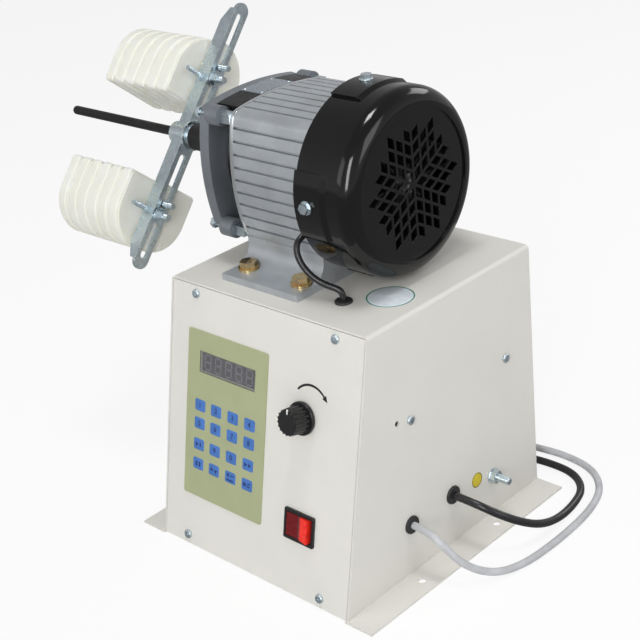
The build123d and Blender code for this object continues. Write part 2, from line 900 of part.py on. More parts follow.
motor_lead_points = [
    (14.0, -58.6, cabinet_height + 46.6),
    (13.0, -67.5, cabinet_height + 44.1),
    (15.0, -72.0, cabinet_height + 36.6),
    (19.5, -73.0, cabinet_height + 28.6),
    (25.5, -71.5, cabinet_height + 21.1),
    (32.0, -69.0, cabinet_height + 15.6),
    (38.5, -66.5, cabinet_height + 12.6),
    (44.8, -63.5, cabinet_height + 10.6),
    (top_grommet_x, top_grommet_y, cabinet_height + 7.6),
    (top_grommet_x, top_grommet_y, cabinet_height + grommet_lip),
]
foot_drop = axis_z - cabinet_height
foot_top = foot_thickness - foot_drop
pedestal_top = foot_top + pedestal_blend
housing_length = housing_right - housing_left
housing_face = housing_outline()
foot_bolt_plane = Plane.XY.offset(cabinet_height + foot_thickness)
gland_plane = Plane(
    origin=motor_lead_points[0],
    z_dir=Vector(motor_lead_points[1]) - Vector(motor_lead_points[0]),
)
gland_radius = motor_lead_diameter / 2 + gland_wall

with BuildPart() as motor_housing:
    with BuildSketch(across(housing_left)):
        add(housing_face)
        for i in range(-grooves_each_way, grooves_each_way + 1):
            with Locations((0, i * groove_pitch)):
                Rectangle(3 * housing_side, groove_width, mode=Mode.SUBTRACT)
            with Locations((i * groove_pitch, housing_top)):
                Rectangle(groove_width, housing_top, mode=Mode.SUBTRACT)
        offset(housing_face.face(), amount=-groove_depth, mode=Mode.ADD)
        with BuildLine():
            Polyline(
                (-pedestal_half_width, -housing_corner + pedestal_overlap),
                (-pedestal_half_width, pedestal_top),
            )
            RadiusArc(
                (-pedestal_half_width, pedestal_top),
                (-pedestal_half_width - pedestal_blend, foot_top),
                pedestal_blend,
            )
            Polyline(
                (-pedestal_half_width - pedestal_blend, foot_top),
                (-foot_half_width, foot_top),
                (-foot_half_width, -foot_drop),
                (foot_half_width, -foot_drop),
                (foot_half_width, foot_top),
                (pedestal_half_width + pedestal_blend, foot_top),
            )
            RadiusArc(
                (pedestal_half_width + pedestal_blend, foot_top),
                (pedestal_half_width, pedestal_top),
                pedestal_blend,
            )
            Polyline(
                (pedestal_half_width, pedestal_top),
                (pedestal_half_width, -housing_corner + pedestal_overlap),
                (-pedestal_half_width, -housing_corner + pedestal_overlap),
            )
        make_face()
    extrude(amount=housing_length)
    disc(housing_left, housing_right, stator_radius, mode=Mode.SUBTRACT)
    holes(top_plane, foot_bolt_points, foot_bolt_radius + foot_bolt_clearance, 2 * foot_thickness)
    with BuildSketch(foot_bolt_plane):
        with Locations(*foot_bolt_points):
            Circle(foot_bolt_washer_radius + foot_bolt_relief)
    extrude(amount=pedestal_blend, mode=Mode.SUBTRACT)
    with BuildSketch(gland_plane):
        Circle(gland_radius)
    extrude(amount=-gland_length, mode=Mode.SUBTRACT)
finish(motor_housing, "motor_housing")

with BuildPart() as foot_bolts:
    with BuildSketch(foot_bolt_plane):
        with Locations(*foot_bolt_points):
            Circle(foot_bolt_washer_radius)
    extrude(amount=foot_bolt_washer)
    with BuildSketch(foot_bolt_plane.offset(foot_bolt_washer)):
        with Locations(*foot_bolt_points):
            RegularPolygon(foot_bolt_flats / 2, 6, major_radius=False)
    extrude(amount=foot_bolt_head)
    with BuildSketch(foot_bolt_plane):
        with Locations(*foot_bolt_points):
            Circle(foot_bolt_radius)
    extrude(amount=-foot_thickness - sheet - foot_bolt_tail)
    with BuildSketch(top_plane.offset(-sheet)):
        with Locations(*foot_bolt_points):
            RegularPolygon(foot_bolt_flats / 2, 6, major_radius=False)
    extrude(amount=-foot_bolt_nut)
finish(foot_bolts, "foot_bolts")

with BuildPart() as stator:
    disc(core_left, core_right, stator_radius, stator_bore)
    for start, end in ((core_left - overhang, core_left), (core_right, core_right + overhang - winding_step)):
        disc(start, end, stator_radius - winding_inset, stator_bore + winding_bore_step)
finish(stator, "stator")

front_bearing_x = housing_left + bearing_shoulder
rear_bearing_x = housing_right - bearing_shoulder - bearing_width
output_bearing_x = plate_left + bearing_shoulder
shaft_bore = shaft_radius + running_clearance

with BuildPart() as motor_bearings:
    disc(front_bearing_x, front_bearing_x + bearing_width, bearing_radius, shaft_bore)
    disc(rear_bearing_x, rear_bearing_x + bearing_width, bearing_radius, shaft_bore)
finish(motor_bearings, "motor_bearings")

with BuildPart() as output_bearing:
    disc(output_bearing_x, output_bearing_x + bearing_width, bearing_radius, shaft_bore)
finish(output_bearing, "output_bearing")

with BuildPart() as front_shield:
    disc(housing_left, housing_left + shield_thickness, stator_radius)
    disc(housing_left, front_bearing_x + bearing_width, shield_boss_radius)
    disc(housing_left, housing_right, shaft_radius + shaft_relief, mode=Mode.SUBTRACT)
    disc(front_bearing_x, housing_right, bearing_radius, mode=Mode.SUBTRACT)
finish(front_shield, "front_shield")

cover_bore = cover_radius - cover_wall
lug_outer = sqrt((cover_bore - lug_clearance) ** 2 - (lug_width / 2) ** 2)

with BuildPart() as rear_shield:
    disc(housing_right - shield_thickness, housing_right, stator_radius)
    disc(rear_bearing_x, housing_right, shield_boss_radius)
    disc(housing_right, housing_right + shield_rim, housing_corner + shield_rim_step)
    with BuildSketch(across(housing_right)):
        with PolarLocations((housing_corner + lug_outer) / 2, 4):
            Rectangle(lug_outer - housing_corner, lug_width)
    extrude(amount=lug_end_x - housing_right)
    disc(housing_left, housing_right + shield_rim + 1, shaft_radius + shaft_relief, mode=Mode.SUBTRACT)
    disc(housing_left, rear_bearing_x + bearing_width, bearing_radius, mode=Mode.SUBTRACT)
    for turn in cover_screw_quarters:
        with BuildSketch(radial_plane(turn, housing_corner + shield_rim)):
            Circle(screw_hole_radius)
        extrude(amount=cover_radius, mode=Mode.SUBTRACT)
finish(rear_shield, "rear_shield")

# ---------------------------------------------------------------- brake and front plate
post_points = [(y, z) for y in (-post_y, post_y) for z in (-post_z, post_z)]

with BuildPart() as front_plate:
    with BuildSketch(across(plate_left)):
        add(housing_face)
    extrude(amount=plate_thickness)
    chamfer(faces().sort_by(Axis.X)[0].edges(), plate_chamfer)
    with BuildSketch(across(plate_right)):
        with Locations(*post_points):
            Circle(plate_boss_radius)
    extrude(amount=plate_boss_height)
    disc(plate_left, plate_right, shaft_radius + shaft_relief, mode=Mode.SUBTRACT)
    disc(output_bearing_x, plate_right, bearing_radius, mode=Mode.SUBTRACT)
    with BuildSketch(across(plate_left)):
        with Locations(*post_points):
            Circle(tie_bolt_radius + screw_hole_clearance)
    extrude(amount=plate_thickness + plate_boss_height, mode=Mode.SUBTRACT)
finish(front_plate, "front_plate")

post_left = plate_right + plate_boss_height

with BuildPart() as spacer_posts:
    with BuildSketch(across(post_left)):
        with Locations(*post_points):
            Rectangle(post_side, post_side)
            Circle(tie_bolt_radius + screw_hole_clearance, mode=Mode.SUBTRACT)
    extrude(amount=housing_left - post_left)
finish(spacer_posts, "spacer_posts")

with BuildPart() as tie_bolts:
    with BuildSketch(across(plate_left)):
        with Locations(*post_points):
            RegularPolygon(tie_bolt_flats / 2, 6, major_radius=False)
    extrude(amount=-tie_bolt_head)
    with BuildSketch(across(plate_left)):
        with Locations(*post_points):
            Circle(tie_bolt_radius)
    extrude(amount=housing_left - plate_left)
finish(tie_bolts, "tie_bolts")

with BuildPart() as brake_guard:
    with BuildSketch(across(plate_right)):
        add(housing_face)
        offset(housing_face.face(), amount=-guard_thickness, mode=Mode.SUBTRACT)
        Rectangle(2 * guard_half_width, 3 * housing_top, mode=Mode.INTERSECT)
    extrude(amount=housing_left - plate_right)
finish(brake_guard, "brake_guard")

brake_left = housing_left - brake_length

with BuildPart() as brake_body:
    disc(brake_left, housing_left, brake_radius, brake_bore)
    disc(
        brake_left,
        brake_left + brake_groove_depth,
        brake_radius - brake_groove_outer,
        brake_radius - brake_groove_inner,
        mode=Mode.SUBTRACT,
    )
    fillet(edges().filter_by(GeomType.CIRCLE).sort_by(SortBy.RADIUS)[-2:], brake_round)
finish(brake_body, "brake_body")

armature_left = brake_left - brake_gap - armature_thickness

with BuildPart() as brake_armature:
    disc(armature_left, armature_left + armature_thickness, armature_radius, shaft_radius)
    chamfer(edges().filter_by(GeomType.CIRCLE).sort_by(SortBy.RADIUS)[-2:], edge_chamfer)
finish(brake_armature, "brake_armature")

with BuildPart() as nameplate:
    with BuildSketch(across((plate_right + housing_left - nameplate_width) / 2)):
        offset(housing_face.face(), amount=nameplate_thickness)
        add(housing_face, mode=Mode.SUBTRACT)
        with Locations((0, housing_top)):
            Rectangle(nameplate_length, housing_top, mode=Mode.INTERSECT)
    extrude(amount=nameplate_width)
finish(nameplate, "nameplate")

# ---------------------------------------------------------------- fan and its cover
with BuildPart() as cooling_fan:
    disc(cooling_fan_left, cooling_fan_right, fan_hub_radius, shaft_radius)
    disc(cooling_fan_left, cooling_fan_left + fan_disc, cooling_fan_radius - fan_disc_step, shaft_radius)
    blade_length = cooling_fan_radius - fan_hub_radius + blade_root
    with BuildSketch(across(cooling_fan_left)):
        with PolarLocations(fan_hub_radius - blade_root + blade_length / 2, fan_blades):
            Rectangle(blade_length, blade_thickness)
    extrude(amount=cooling_fan_right - cooling_fan_left)
finish(cooling_fan, "cooling_fan")

profile_plane = Plane(origin=(0, 0, axis_z), x_dir=(1, 0, 0), z_dir=(0, -1, 0))


def grille_cells():
    """Centre and the two half diagonals of every rhombic hole: six sectors of a triangular lattice."""
    share = 1 - grille_rib / (grille_pitch * sin(radians(60)))
    for sector in range(6):
        first = Vector(grille_pitch, 0).rotate(Axis.Z, 30 + 60 * sector)
        second = first.rotate(Axis.Z, 60)
        for i in range(6):
            for j in range(6):
                centre = first * (i + 0.5) + second * (j + 0.5)
                if centre.length <= grille_reach:
                    yield centre, (first + second) * (share / 2), (first - second) * (share / 2)


with BuildPart() as fan_cover:
    with BuildSketch(profile_plane):
        with BuildLine():
            Polyline((cover_left, cover_bore), (cover_left, cover_radius), (cover_shoulder_x, cover_radius))
            ThreePointArc(
                (cover_shoulder_x, cover_radius),
                (cover_face_x - cover_edge_x, cover_radius - cover_edge_drop),
                (cover_face_x, cover_face_radius),
            )
            Polyline(
                (cover_face_x, cover_face_radius),
                (cover_face_x, grille_radius),
                (cover_face_x - grille_recess, grille_radius),
                (cover_face_x - grille_recess, 0),
                (cover_face_x - grille_recess - grille_thickness, 0),
                (cover_face_x - grille_recess - grille_thickness, grille_radius - grille_step),
            )
            ThreePointArc(
                (cover_face_x - grille_recess - grille_thickness, grille_radius - grille_step),
                (cover_face_x - cover_inner_edge_x, cover_bore - cover_inner_edge_drop),
                (cover_shoulder_x, cover_bore),
            )
            Line((cover_shoulder_x, cover_bore), (cover_left, cover_bore))
        make_face()
    revolve(axis=motor_axis)
    for turn in range(4):
        start_angle = 90 * turn - pad_half_angle
        pad_plane = Plane(
            origin=(0, 0, axis_z),
            x_dir=(1, 0, 0),
            z_dir=(0, -cos(radians(start_angle)), -sin(radians(start_angle))),
        )
        with BuildSketch(pad_plane):
            with BuildLine():
                Polyline(
                    (cover_left, cover_radius - pad_root),
                    (cover_left, cover_radius + pad_rise),
                    (pad_end_x - pad_slope, cover_radius + pad_rise),
                    (pad_end_x, cover_radius - pad_root),
                    close=True,
                )
            make_face()
        revolve(axis=motor_axis, revolution_arc=2 * pad_half_angle)
    with BuildSketch(across(cover_face_x)):
        for centre, along, over in grille_cells():
            with BuildLine():
                Polyline(centre + along, centre + over, centre - along, centre - over, close=True)
            make_face()
    extrude(amount=-2 * (grille_recess + grille_thickness), mode=Mode.SUBTRACT)
    for turn in cover_screw_quarters:
        with BuildSketch(radial_plane(turn, cover_bore - cover_hole_inset)):
            Circle(screw_hole_radius)
        extrude(amount=cover_hole_depth, mode=Mode.SUBTRACT)
finish(fan_cover, "fan_cover")

pad_top = cover_radius + pad_rise

with BuildPart() as cover_screws:
    for turn in cover_screw_quarters:
        radial = radial_plane(turn, pad_top)
        with BuildSketch(radial):
            Circle(screw_head_radius + cover_washer_step)
        extrude(amount=cover_washer)
        with BuildSketch(radial.offset(cover_washer)):
            RegularPolygon(screw_head_radius, 6, major_radius=False)
        extrude(amount=cover_screw_head)
        with BuildSketch(radial):
            Circle(screw_radius)
        extrude(amount=-cover_screw_length)
finish(cover_screws, "cover_screws")

# ---------------------------------------------------------------- spindle
with BuildPart() as rotor_shaft:
    disc(hub_socket_left, cooling_fan_right + shaft_end_reach, shaft_radius)
    disc(core_left, core_right, stator_bore - rotor_gap)
finish(rotor_shaft, "rotor_shaft")

with BuildPart() as output_collar:
    disc(collar_left, collar_right, collar_radius, shaft_radius)
    chamfer(edges().filter_by(GeomType.CIRCLE).sort_by(SortBy.RADIUS)[-2:], edge_chamfer)
finish(output_collar, "output_collar")

with BuildPart() as spindle_hub:
    disc(hub_left, collar_left, hub_radius)
    disc(arm_right, arm_right + hub_flange_thickness, hub_flange_radius)
    disc(hub_socket_left, collar_left, shaft_radius, mode=Mode.SUBTRACT)
    disc(hub_left, hub_socket_left, rod_spigot_radius, mode=Mode.SUBTRACT)
    chamfer(edges().filter_by(GeomType.CIRCLE).sort_by(Axis.X)[:2].sort_by(SortBy.RADIUS)[-1], edge_chamfer)
finish(spindle_hub, "spindle_hub")

with BuildPart() as guide_rod:
    disc(rod_tip_x, hub_left - rod_relief, rod_radius)
    disc(hub_left - rod_relief, hub_socket_left, rod_spigot_radius)
    fillet(faces().sort_by(Axis.X)[0].edges(), rod_tip_round)
finish(guide_rod, "guide_rod")

rib_under_v = arm_high_v - arm_gauge
jam_places = [(jam_upper_u, -jam_x), (jam_lower_u, -jam_x)]
rib_plane = Plane(
    origin=Vector(0, 0, axis_z) + arm_v * arm_high_v,
    x_dir=arm_u,
    z_dir=arm_v,
)

with BuildPart() as winding_arm:
    with BuildSketch(Plane(origin=(0, 0, axis_z), x_dir=(1, 0, 0), z_dir=-arm_u)):
        with BuildLine():
            Polyline(
                (arm_rib_left, rib_under_v),
                (arm_left, rib_under_v),
                (arm_left, 0),
                (arm_right, 0),
                (arm_right, arm_high_v),
                (arm_rib_left, arm_high_v),
                close=True,
            )
        make_face()
        fillet(vertices().sort_by(Axis.Y)[-2:].sort_by(Axis.X)[-1], bend_radius)
    extrude(amount=arm_rib_length / 2, both=True)
    with BuildSketch(arm_plane(arm_left)):
        with Locations((0, (arm_low_v + arm_high_v) / 2)):
            SlotOverall(arm_length, arm_high_v - arm_low_v)
    extrude(amount=arm_gauge)
    with BuildSketch(arm_plane(arm_left)):
        for side in (-1, 1):
            with Locations((side * (slot_inner + slot_outer) / 2, 0)):
                SlotOverall(slot_outer - slot_inner, slot_width)
    extrude(amount=arm_gauge, mode=Mode.SUBTRACT)
    with BuildSketch(rib_plane):
        for side in (-1, 1):
            with BuildLine():
                Polyline(
                    (side * (arm_rib_length / 2 - arm_corner_u), -arm_rib_left),
                    (side * arm_rib_length / 2, -arm_rib_left - arm_corner_x),
                    (side * arm_rib_length / 2, -arm_rib_left),
                    close=True,
                )
            make_face()
        with Locations(*jam_places):
            Circle(jam_radius)
    extrude(amount=-arm_gauge, mode=Mode.SUBTRACT)
    disc(arm_rib_left, arm_right, hub_radius, mode=Mode.SUBTRACT)
finish(winding_arm, "winding_arm")

with BuildPart() as jam_screws:
    with BuildSketch(rib_plane.offset(-arm_gauge)):
        with Locations(*jam_places):
            Circle(jam_radius)
    extrude(amount=arm_gauge + jam_reach)
    with BuildSketch(rib_plane):
        with Locations(*jam_places):
            RegularPolygon(jam_nut_flats / 2, 6, major_radius=False)
    extrude(amount=jam_nut)
finish(jam_screws, "jam_screws")


# ---------------------------------------------------------------- formers
def former_outline(inset):
    """Half-round former seen along the motor axis, its flat on the local Y axis."""
    half = former_half_width - inset
    with BuildSketch() as outline:
        with BuildLine():
            Line((inset, half), (inset, -half))
            Line((inset, -half), (former_straight, -half))
            ThreePointArc((former_straight, -half), (former_depth - inset, 0), (former_straight, half))
            Line((former_straight, half), (inset, half))
        make_face()
        fillet(outline.vertices().sort_by(Axis.X)[:2], former_corner)
    return outline.sketch


land_pitch = (former_length + former_groove) / land_count
bolt_head_x = former_left + clamp_head + clamp_head_recess


def former_plane(x, flat_u, side):
    """Sketch plane across the motor axis, its origin on a former's flat and X outwards."""
    return Plane(
        origin=Vector(x, 0, axis_z) + arm_u * side * flat_u,
        x_dir=arm_u * side,
        z_dir=(1, 0, 0),
    )


def build_former(flat_u, side):
    """One grooved former on the given side of the spindle; the flat faces the spindle."""
    with BuildPart() as former:
        for i in range(land_count):
            with BuildSketch(former_plane(former_left + i * land_pitch, flat_u, side)):
                add(former_outline(0))
            extrude(amount=land_pitch - former_groove)
        rims = former.edges().filter_by(Axis.X, reverse=True)
        fillet(rims, land_round)
        with BuildSketch(former_plane(former_left + land_round, flat_u, side)):
            add(former_outline(former_groove_depth))
        extrude(amount=former_length - 2 * land_round)
        with BuildSketch(arm_plane(rabbet_left)):
            with Locations((0, rabbet_v + former_half_width)):
                Rectangle(2 * arm_length, 2 * former_half_width)
        extrude(amount=former_right - rabbet_left + 1, mode=Mode.SUBTRACT)
        bolt_u = side * (flat_u + former_bolt_offset)
        with BuildSketch(arm_plane(former_left)):
            with Locations((bolt_u, 0)):
                Circle(clamp_radius)
        extrude(amount=former_length, mode=Mode.SUBTRACT)
        with BuildSketch(arm_plane(former_left)):
            with Locations((bolt_u, 0)):
                Circle(clamp_head_radius + clamp_head_clearance)
        extrude(amount=clamp_head + clamp_head_recess, mode=Mode.SUBTRACT)
        with BuildSketch(arm_plane(former_right)):
            with Locations((bolt_u + stud_offset, 0)):
                Circle(stud_radius)
        extrude(amount=-stud_depth, mode=Mode.SUBTRACT)
    return former


def build_clamp(flat_u, side):
    """Clamp bolt with washer and nut, and the guide stud beside it."""
    bolt_u = side * (flat_u + former_bolt_offset)
    washer_x = arm_right + slide_clearance
    with BuildPart() as clamp:
        with BuildSketch(arm_plane(bolt_head_x - clamp_head)):
            with Locations((bolt_u, 0)):
                Circle(clamp_head_radius)
        extrude(amount=clamp_head)
        with BuildSketch(arm_plane(bolt_head_x)):
            with Locations((bolt_u, 0)):
                Circle(clamp_radius)
        extrude(amount=arm_right + clamp_reach - bolt_head_x)
        with BuildSketch(arm_plane(washer_x)):
            with Locations((bolt_u, 0)):
                Circle(clamp_washer_radius)
        extrude(amount=clamp_washer)
        with BuildSketch(arm_plane(washer_x + clamp_washer)):
            with Locations((bolt_u, 0)):
                RegularPolygon(clamp_nut_flats / 2, 6, major_radius=False)
        extrude(amount=clamp_nut)
        with BuildSketch(arm_plane(former_right - stud_depth)):
            with Locations((bolt_u + stud_offset, 0)):
                Circle(stud_radius)
        extrude(amount=arm_right + stud_reach - former_right + stud_depth)
    return clamp


for name, flat_u, side in (("upper", upper_former_u, 1), ("lower", lower_former_u, -1)):
    finish(build_former(flat_u, side), f"{name}_former")
    finish(build_clamp(flat_u, side), f"{name}_clamp_set")


# ---------------------------------------------------------------- cords
def bend_radii(points):
    """Radius of each corner of a route: as large as its two runs allow."""
    radii = []
    for before, corner, after in zip(points, points[1:], points[2:]):
        first = Vector(corner) - Vector(before)
        second = Vector(after) - Vector(corner)
        half_turn = radians(first.get_angle(second)) / 2
        radii.append(run_share * min(first.length, second.length) / tan(half_turn))
    return radii


def build_lead(label, points, diameter):
    """Free lead along a route of straight runs and tangent arcs, as an eight-sided tube."""
    radii = bend_radii(points)
    with BuildPart() as lead:
        with BuildLine() as path:
            FilletPolyline(*points, radius=radii)
        route = path.wires()[0]
        with BuildSketch(Plane(origin=route @ 0, z_dir=route % 0)) as section:
            RegularPolygon(diameter / 2, 8)
        sweep(path=route)
    ratio = lead.part.volume / (section.sketch.area * route.length)
    print(label, "length", round(route.length, 1), "volume ratio", round(ratio, 4))
    print(label, "radii", [round(radius, 1) for radius in radii])
    finish(lead, label)


mains_points = [
    (grommet_face_x, mains_exit_y, cord_exit_z),
    (124.0, -17.5, cord_exit_z),
    (141.0, -9.0, 35.0),
    (151.0, 6.5, 23.0),
    (155.5, 26.5, 11.5),
    (155.5, 49.5, 4.6),
    (153.0, 74.0, mains_radius),
    (146.0, 98.0, mains_radius),
    (127.0, 114.0, mains_radius),
    (100.0, 116.5, mains_radius),
    (69.0, 111.5, mains_radius),
    (36.0, 106.5, mains_radius),
    (0.0, 103.6, mains_radius),
    (-36.0, 102.9, mains_radius),
    (-72.0, 103.3, mains_radius),
    (-108.0, mains_coil_start_y, mains_radius),
    (mains_coil_x + mains_diameter, mains_coil_start_y, mains_radius),
]
pedal_points = [
    (grommet_face_x, pedal_exit_y, cord_exit_z),
    (119.0, -67.7, cord_exit_z),
    (132.0, -66.0, 35.0),
    (142.0, -61.0, 22.0),
    (151.5, -50.5, 11.0),
    (161.0, -35.5, 4.4),
    (168.0, -14.0, pedal_radius),
    (170.5, 14.0, pedal_radius),
    (170.5, 46.0, pedal_radius),
    (167.5, 78.0, pedal_radius),
    (158.0, 107.0, pedal_radius),
    (136.5, 128.0, pedal_radius),
    (106.0, 134.5, pedal_radius),
    (75.0, 131.5, pedal_radius),
    (45.0, 125.5, pedal_radius),
    (14.0, pedal_coil_start_y, pedal_radius),
    (pedal_coil_x + pedal_diameter, pedal_coil_start_y, pedal_radius),
]
build_lead("motor_lead", motor_lead_points, motor_lead_diameter)
build_lead("mains_lead", mains_points, mains_diameter)
build_lead("pedal_lead", pedal_points, pedal_diameter)

with BuildPart() as lead_gland:
    with BuildSketch(gland_plane):
        Circle(gland_radius)
    extrude(amount=-gland_length)
finish(lead_gland, "lead_gland")


def two_arcs(start, start_dir, end, end_dir):
    """Two tangent arcs from one point and direction to another, at equal reach."""
    gap = end - start
    bend = 2 * (1 - start_dir.dot(end_dir))
    along = gap.dot(start_dir + end_dir)
    reach = ((along * along + bend * gap.dot(gap)) ** 0.5 - along) / bend
    first_corner = start + start_dir * reach
    second_corner = end - end_dir * reach
    middle = (first_corner + second_corner) * 0.5
    TangentArc(start, middle, tangent=start_dir)
    TangentArc(middle, end, tangent=(second_corner - first_corner).normalized())


def coil_stations(diameter, inner_radius):
    """Radius and height at every half turn: in along the floor, up a layer, out again."""
    step = (diameter + turn_gap) / 2
    low = diameter / 2
    high = low + diameter + turn_gap
    stations = [(inner_radius + step * (half_turns_in - i), low) for i in range(half_turns_in + 1)]
    stations += [(inner_radius + step * i, high) for i in range(half_turns_out + 1)]
    return stations


def least_gap(line, diameter):
    """Least gap between turns of a coil, measured on points about 2 mm apart."""
    count = int(line.length / 2)
    skip = int(2.5 * diameter)
    points = [line @ (i / count) for i in range(count + 1)]
    return min(
        (points[i] - points[j]).length
        for i in range(0, count + 1, 2)
        for j in range(i + skip, count + 1)
    ) - diameter


def build_coil(label, centre_x, start_y, diameter, inner_radius):
    """Put-away coil: one unbroken tube, clockwise from its near side, ending above its start."""
    stations = coil_stations(diameter, inner_radius)
    centre_y = start_y + stations[0][0]
    with BuildPart() as coil:
        with BuildLine() as path:
            places = []
            for i, (radius, height) in enumerate(stations):
                side = 1 if i % 2 == 0 else -1
                place = Vector(centre_x, centre_y - side * radius, height)
                places.append((place, Vector(-side, 0, 0)))
            Line(places[0][0] + Vector(diameter, 0, 0), places[0][0])
            for (start, start_dir), (end, end_dir) in zip(places, places[1:]):
                two_arcs(start, start_dir, end, end_dir)
            last, last_dir = places[-1]
            Line(last, last + last_dir * coil_tail)
        route = path.wires()[0]
        with BuildSketch(Plane(origin=route @ 0, z_dir=route % 0)) as section:
            RegularPolygon(diameter / 2, 8)
        sweep(path=route)
    ratio = coil.part.volume / (section.sketch.area * route.length)
    print(label, "length", round(route.length, 1), "volume ratio", round(ratio, 4))
    print(label, "least gap", round(least_gap(route, diameter), 2))
    finish(coil, label)
    return last + last_dir * coil_tail


mains_end = build_coil("mains_coil", mains_coil_x, mains_coil_start_y, mains_diameter, mains_coil_inner)
pedal_end = build_coil("pedal_coil", pedal_coil_x, pedal_coil_start_y, pedal_diameter, pedal_coil_inner)

with BuildPart() as mains_plug:
    boot_plane = Plane(origin=mains_end, x_dir=(0, 1, 0), z_dir=(-1, 0, 0))
    plug_half_height = mains_end.Z
    with BuildSketch(boot_plane):
        Circle(mains_radius + plug_boot_wall)
    with BuildSketch(boot_plane.offset(plug_boot)):
        Circle(mains_radius + plug_boot_flare)
    loft()
    with BuildSketch(boot_plane.offset(plug_boot)):
        RectangleRounded(2 * plug_half_width, 2 * plug_half_height, plug_corner)
    extrude(amount=plug_length)
    fillet(edges().filter_by(Axis.X, reverse=True).group_by(Axis.X)[0], plug_round)
    with BuildSketch(boot_plane.offset(plug_boot + plug_length)):
        with GridLocations(plug_pin_spacing, 1, 2, 1):
            Circle(plug_pin_radius)
    extrude(amount=plug_pin_length)
finish(mains_plug, "mains_plug")

with BuildPart() as pedal_connector:
    boot_plane = Plane(origin=pedal_end, x_dir=(0, 1, 0), z_dir=(-1, 0, 0))
    with BuildSketch(boot_plane):
        Circle(pedal_radius + connector_boot_wall)
    with BuildSketch(boot_plane.offset(connector_boot)):
        Circle(pedal_radius + connector_boot_flare)
    loft()
    with BuildSketch(boot_plane.offset(connector_boot)):
        Circle(pedal_end.Z)
    extrude(amount=connector_length)
    chamfer(faces().sort_by(Axis.X)[0].edges(), edge_chamfer)
    with BuildSketch(boot_plane.offset(connector_boot + connector_length)):
        Circle(connector_socket_radius)
    extrude(amount=-connector_socket_depth, mode=Mode.SUBTRACT)
finish(pedal_connector, "pedal_connector")
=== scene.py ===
"""Dresses the wire coil winding machine: cords, finishes, printed panel and small hardware.

Metres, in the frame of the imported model. A length written as "12 * MM" is in millimetres.
"""
import json
import math

import bmesh
import bpy
from mathutils import Matrix, Vector

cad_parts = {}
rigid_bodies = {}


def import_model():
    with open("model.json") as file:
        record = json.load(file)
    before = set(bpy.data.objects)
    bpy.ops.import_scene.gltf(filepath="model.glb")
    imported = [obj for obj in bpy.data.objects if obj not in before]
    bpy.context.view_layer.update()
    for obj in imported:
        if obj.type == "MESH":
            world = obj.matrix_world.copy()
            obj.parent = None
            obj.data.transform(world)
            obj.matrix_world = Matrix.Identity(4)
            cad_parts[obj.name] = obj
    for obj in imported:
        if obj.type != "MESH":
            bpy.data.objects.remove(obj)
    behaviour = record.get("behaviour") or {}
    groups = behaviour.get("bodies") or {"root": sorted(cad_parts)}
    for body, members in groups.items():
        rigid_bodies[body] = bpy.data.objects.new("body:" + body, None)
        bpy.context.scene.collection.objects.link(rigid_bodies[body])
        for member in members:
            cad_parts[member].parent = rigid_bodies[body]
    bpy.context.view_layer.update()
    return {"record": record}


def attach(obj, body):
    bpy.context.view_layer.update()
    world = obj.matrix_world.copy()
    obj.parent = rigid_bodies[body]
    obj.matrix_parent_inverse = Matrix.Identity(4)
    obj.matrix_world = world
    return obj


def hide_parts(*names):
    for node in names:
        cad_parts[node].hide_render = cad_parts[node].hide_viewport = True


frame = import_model()

MM = 0.001


def add_object(name, data):
    """A new object in the scene."""
    made = bpy.data.objects.new(name, data)
    bpy.context.scene.collection.objects.link(made)
    return made


# ---------------------------------------------------------------- camera
CAMERA_PLACE = Vector((0.7156, -0.7331, 0.6529))
CAMERA_YAW = 0.8019
CAMERA_PITCH = 0.4441
CAMERA_ROLL = -0.1080
CAMERA_LENS = 79.56
CAMERA_SENSOR = 36.0
CAMERA_NEAR = 0.05


def add_camera():
    """Camera at the photograph's viewing angle."""
    forward = Vector((
        -math.sin(CAMERA_YAW) * math.cos(CAMERA_PITCH),
        math.cos(CAMERA_YAW) * math.cos(CAMERA_PITCH),
        -math.sin(CAMERA_PITCH),
    ))
    level = Vector((math.cos(CAMERA_YAW), math.sin(CAMERA_YAW), 0))
    upright = level.cross(forward)
    right = level * math.cos(CAMERA_ROLL) + upright * math.sin(CAMERA_ROLL)
    up = upright * math.cos(CAMERA_ROLL) - level * math.sin(CAMERA_ROLL)
    data = bpy.data.cameras.new("camera")
    data.lens = CAMERA_LENS
    data.sensor_width = CAMERA_SENSOR
    data.clip_start = CAMERA_NEAR
    turned = Matrix((right, up, -forward)).transposed().to_4x4()
    camera = add_object("camera", data)
    camera.matrix_world = Matrix.Translation(CAMERA_PLACE) @ turned
    bpy.context.scene.camera = camera


add_camera()


# ---------------------------------------------------------------- finishes
class Nodes:
    """A node tree, with short ways to add to it."""

    def __init__(self, tree):
        self.tree = tree

    def add(self, kind, **inputs):
        """A node whose inputs are set to values or joined to sockets."""
        node = self.tree.nodes.new(kind)
        for socket, value in inputs.items():
            self.join(value, node.inputs[socket.replace("_", " ")])
        return node

    def join(self, value, socket):
        """Links a socket to another, or sets it to a plain value."""
        if isinstance(value, bpy.types.NodeSocket):
            self.tree.links.new(value, socket)
        else:
            socket.default_value = value

    def ranged(self, value, low, high, first, last):
        """A value between low and high, remapped to run from first to last."""
        node = self.add(
            "ShaderNodeMapRange",
            Value=value, From_Min=low, From_Max=high, To_Min=first, To_Max=last,
        )
        return node.outputs["Result"]

    def blend(self, share, first, second):
        """A number that goes from first to second as the share goes from 0 to 1."""
        return self.add("ShaderNodeMix", Factor=share, A=first, B=second).outputs["Result"]


NOISE_MIDDLE = (0.3, 0.7)  # most of a noise lies between these
EDGE_SAMPLES = 4


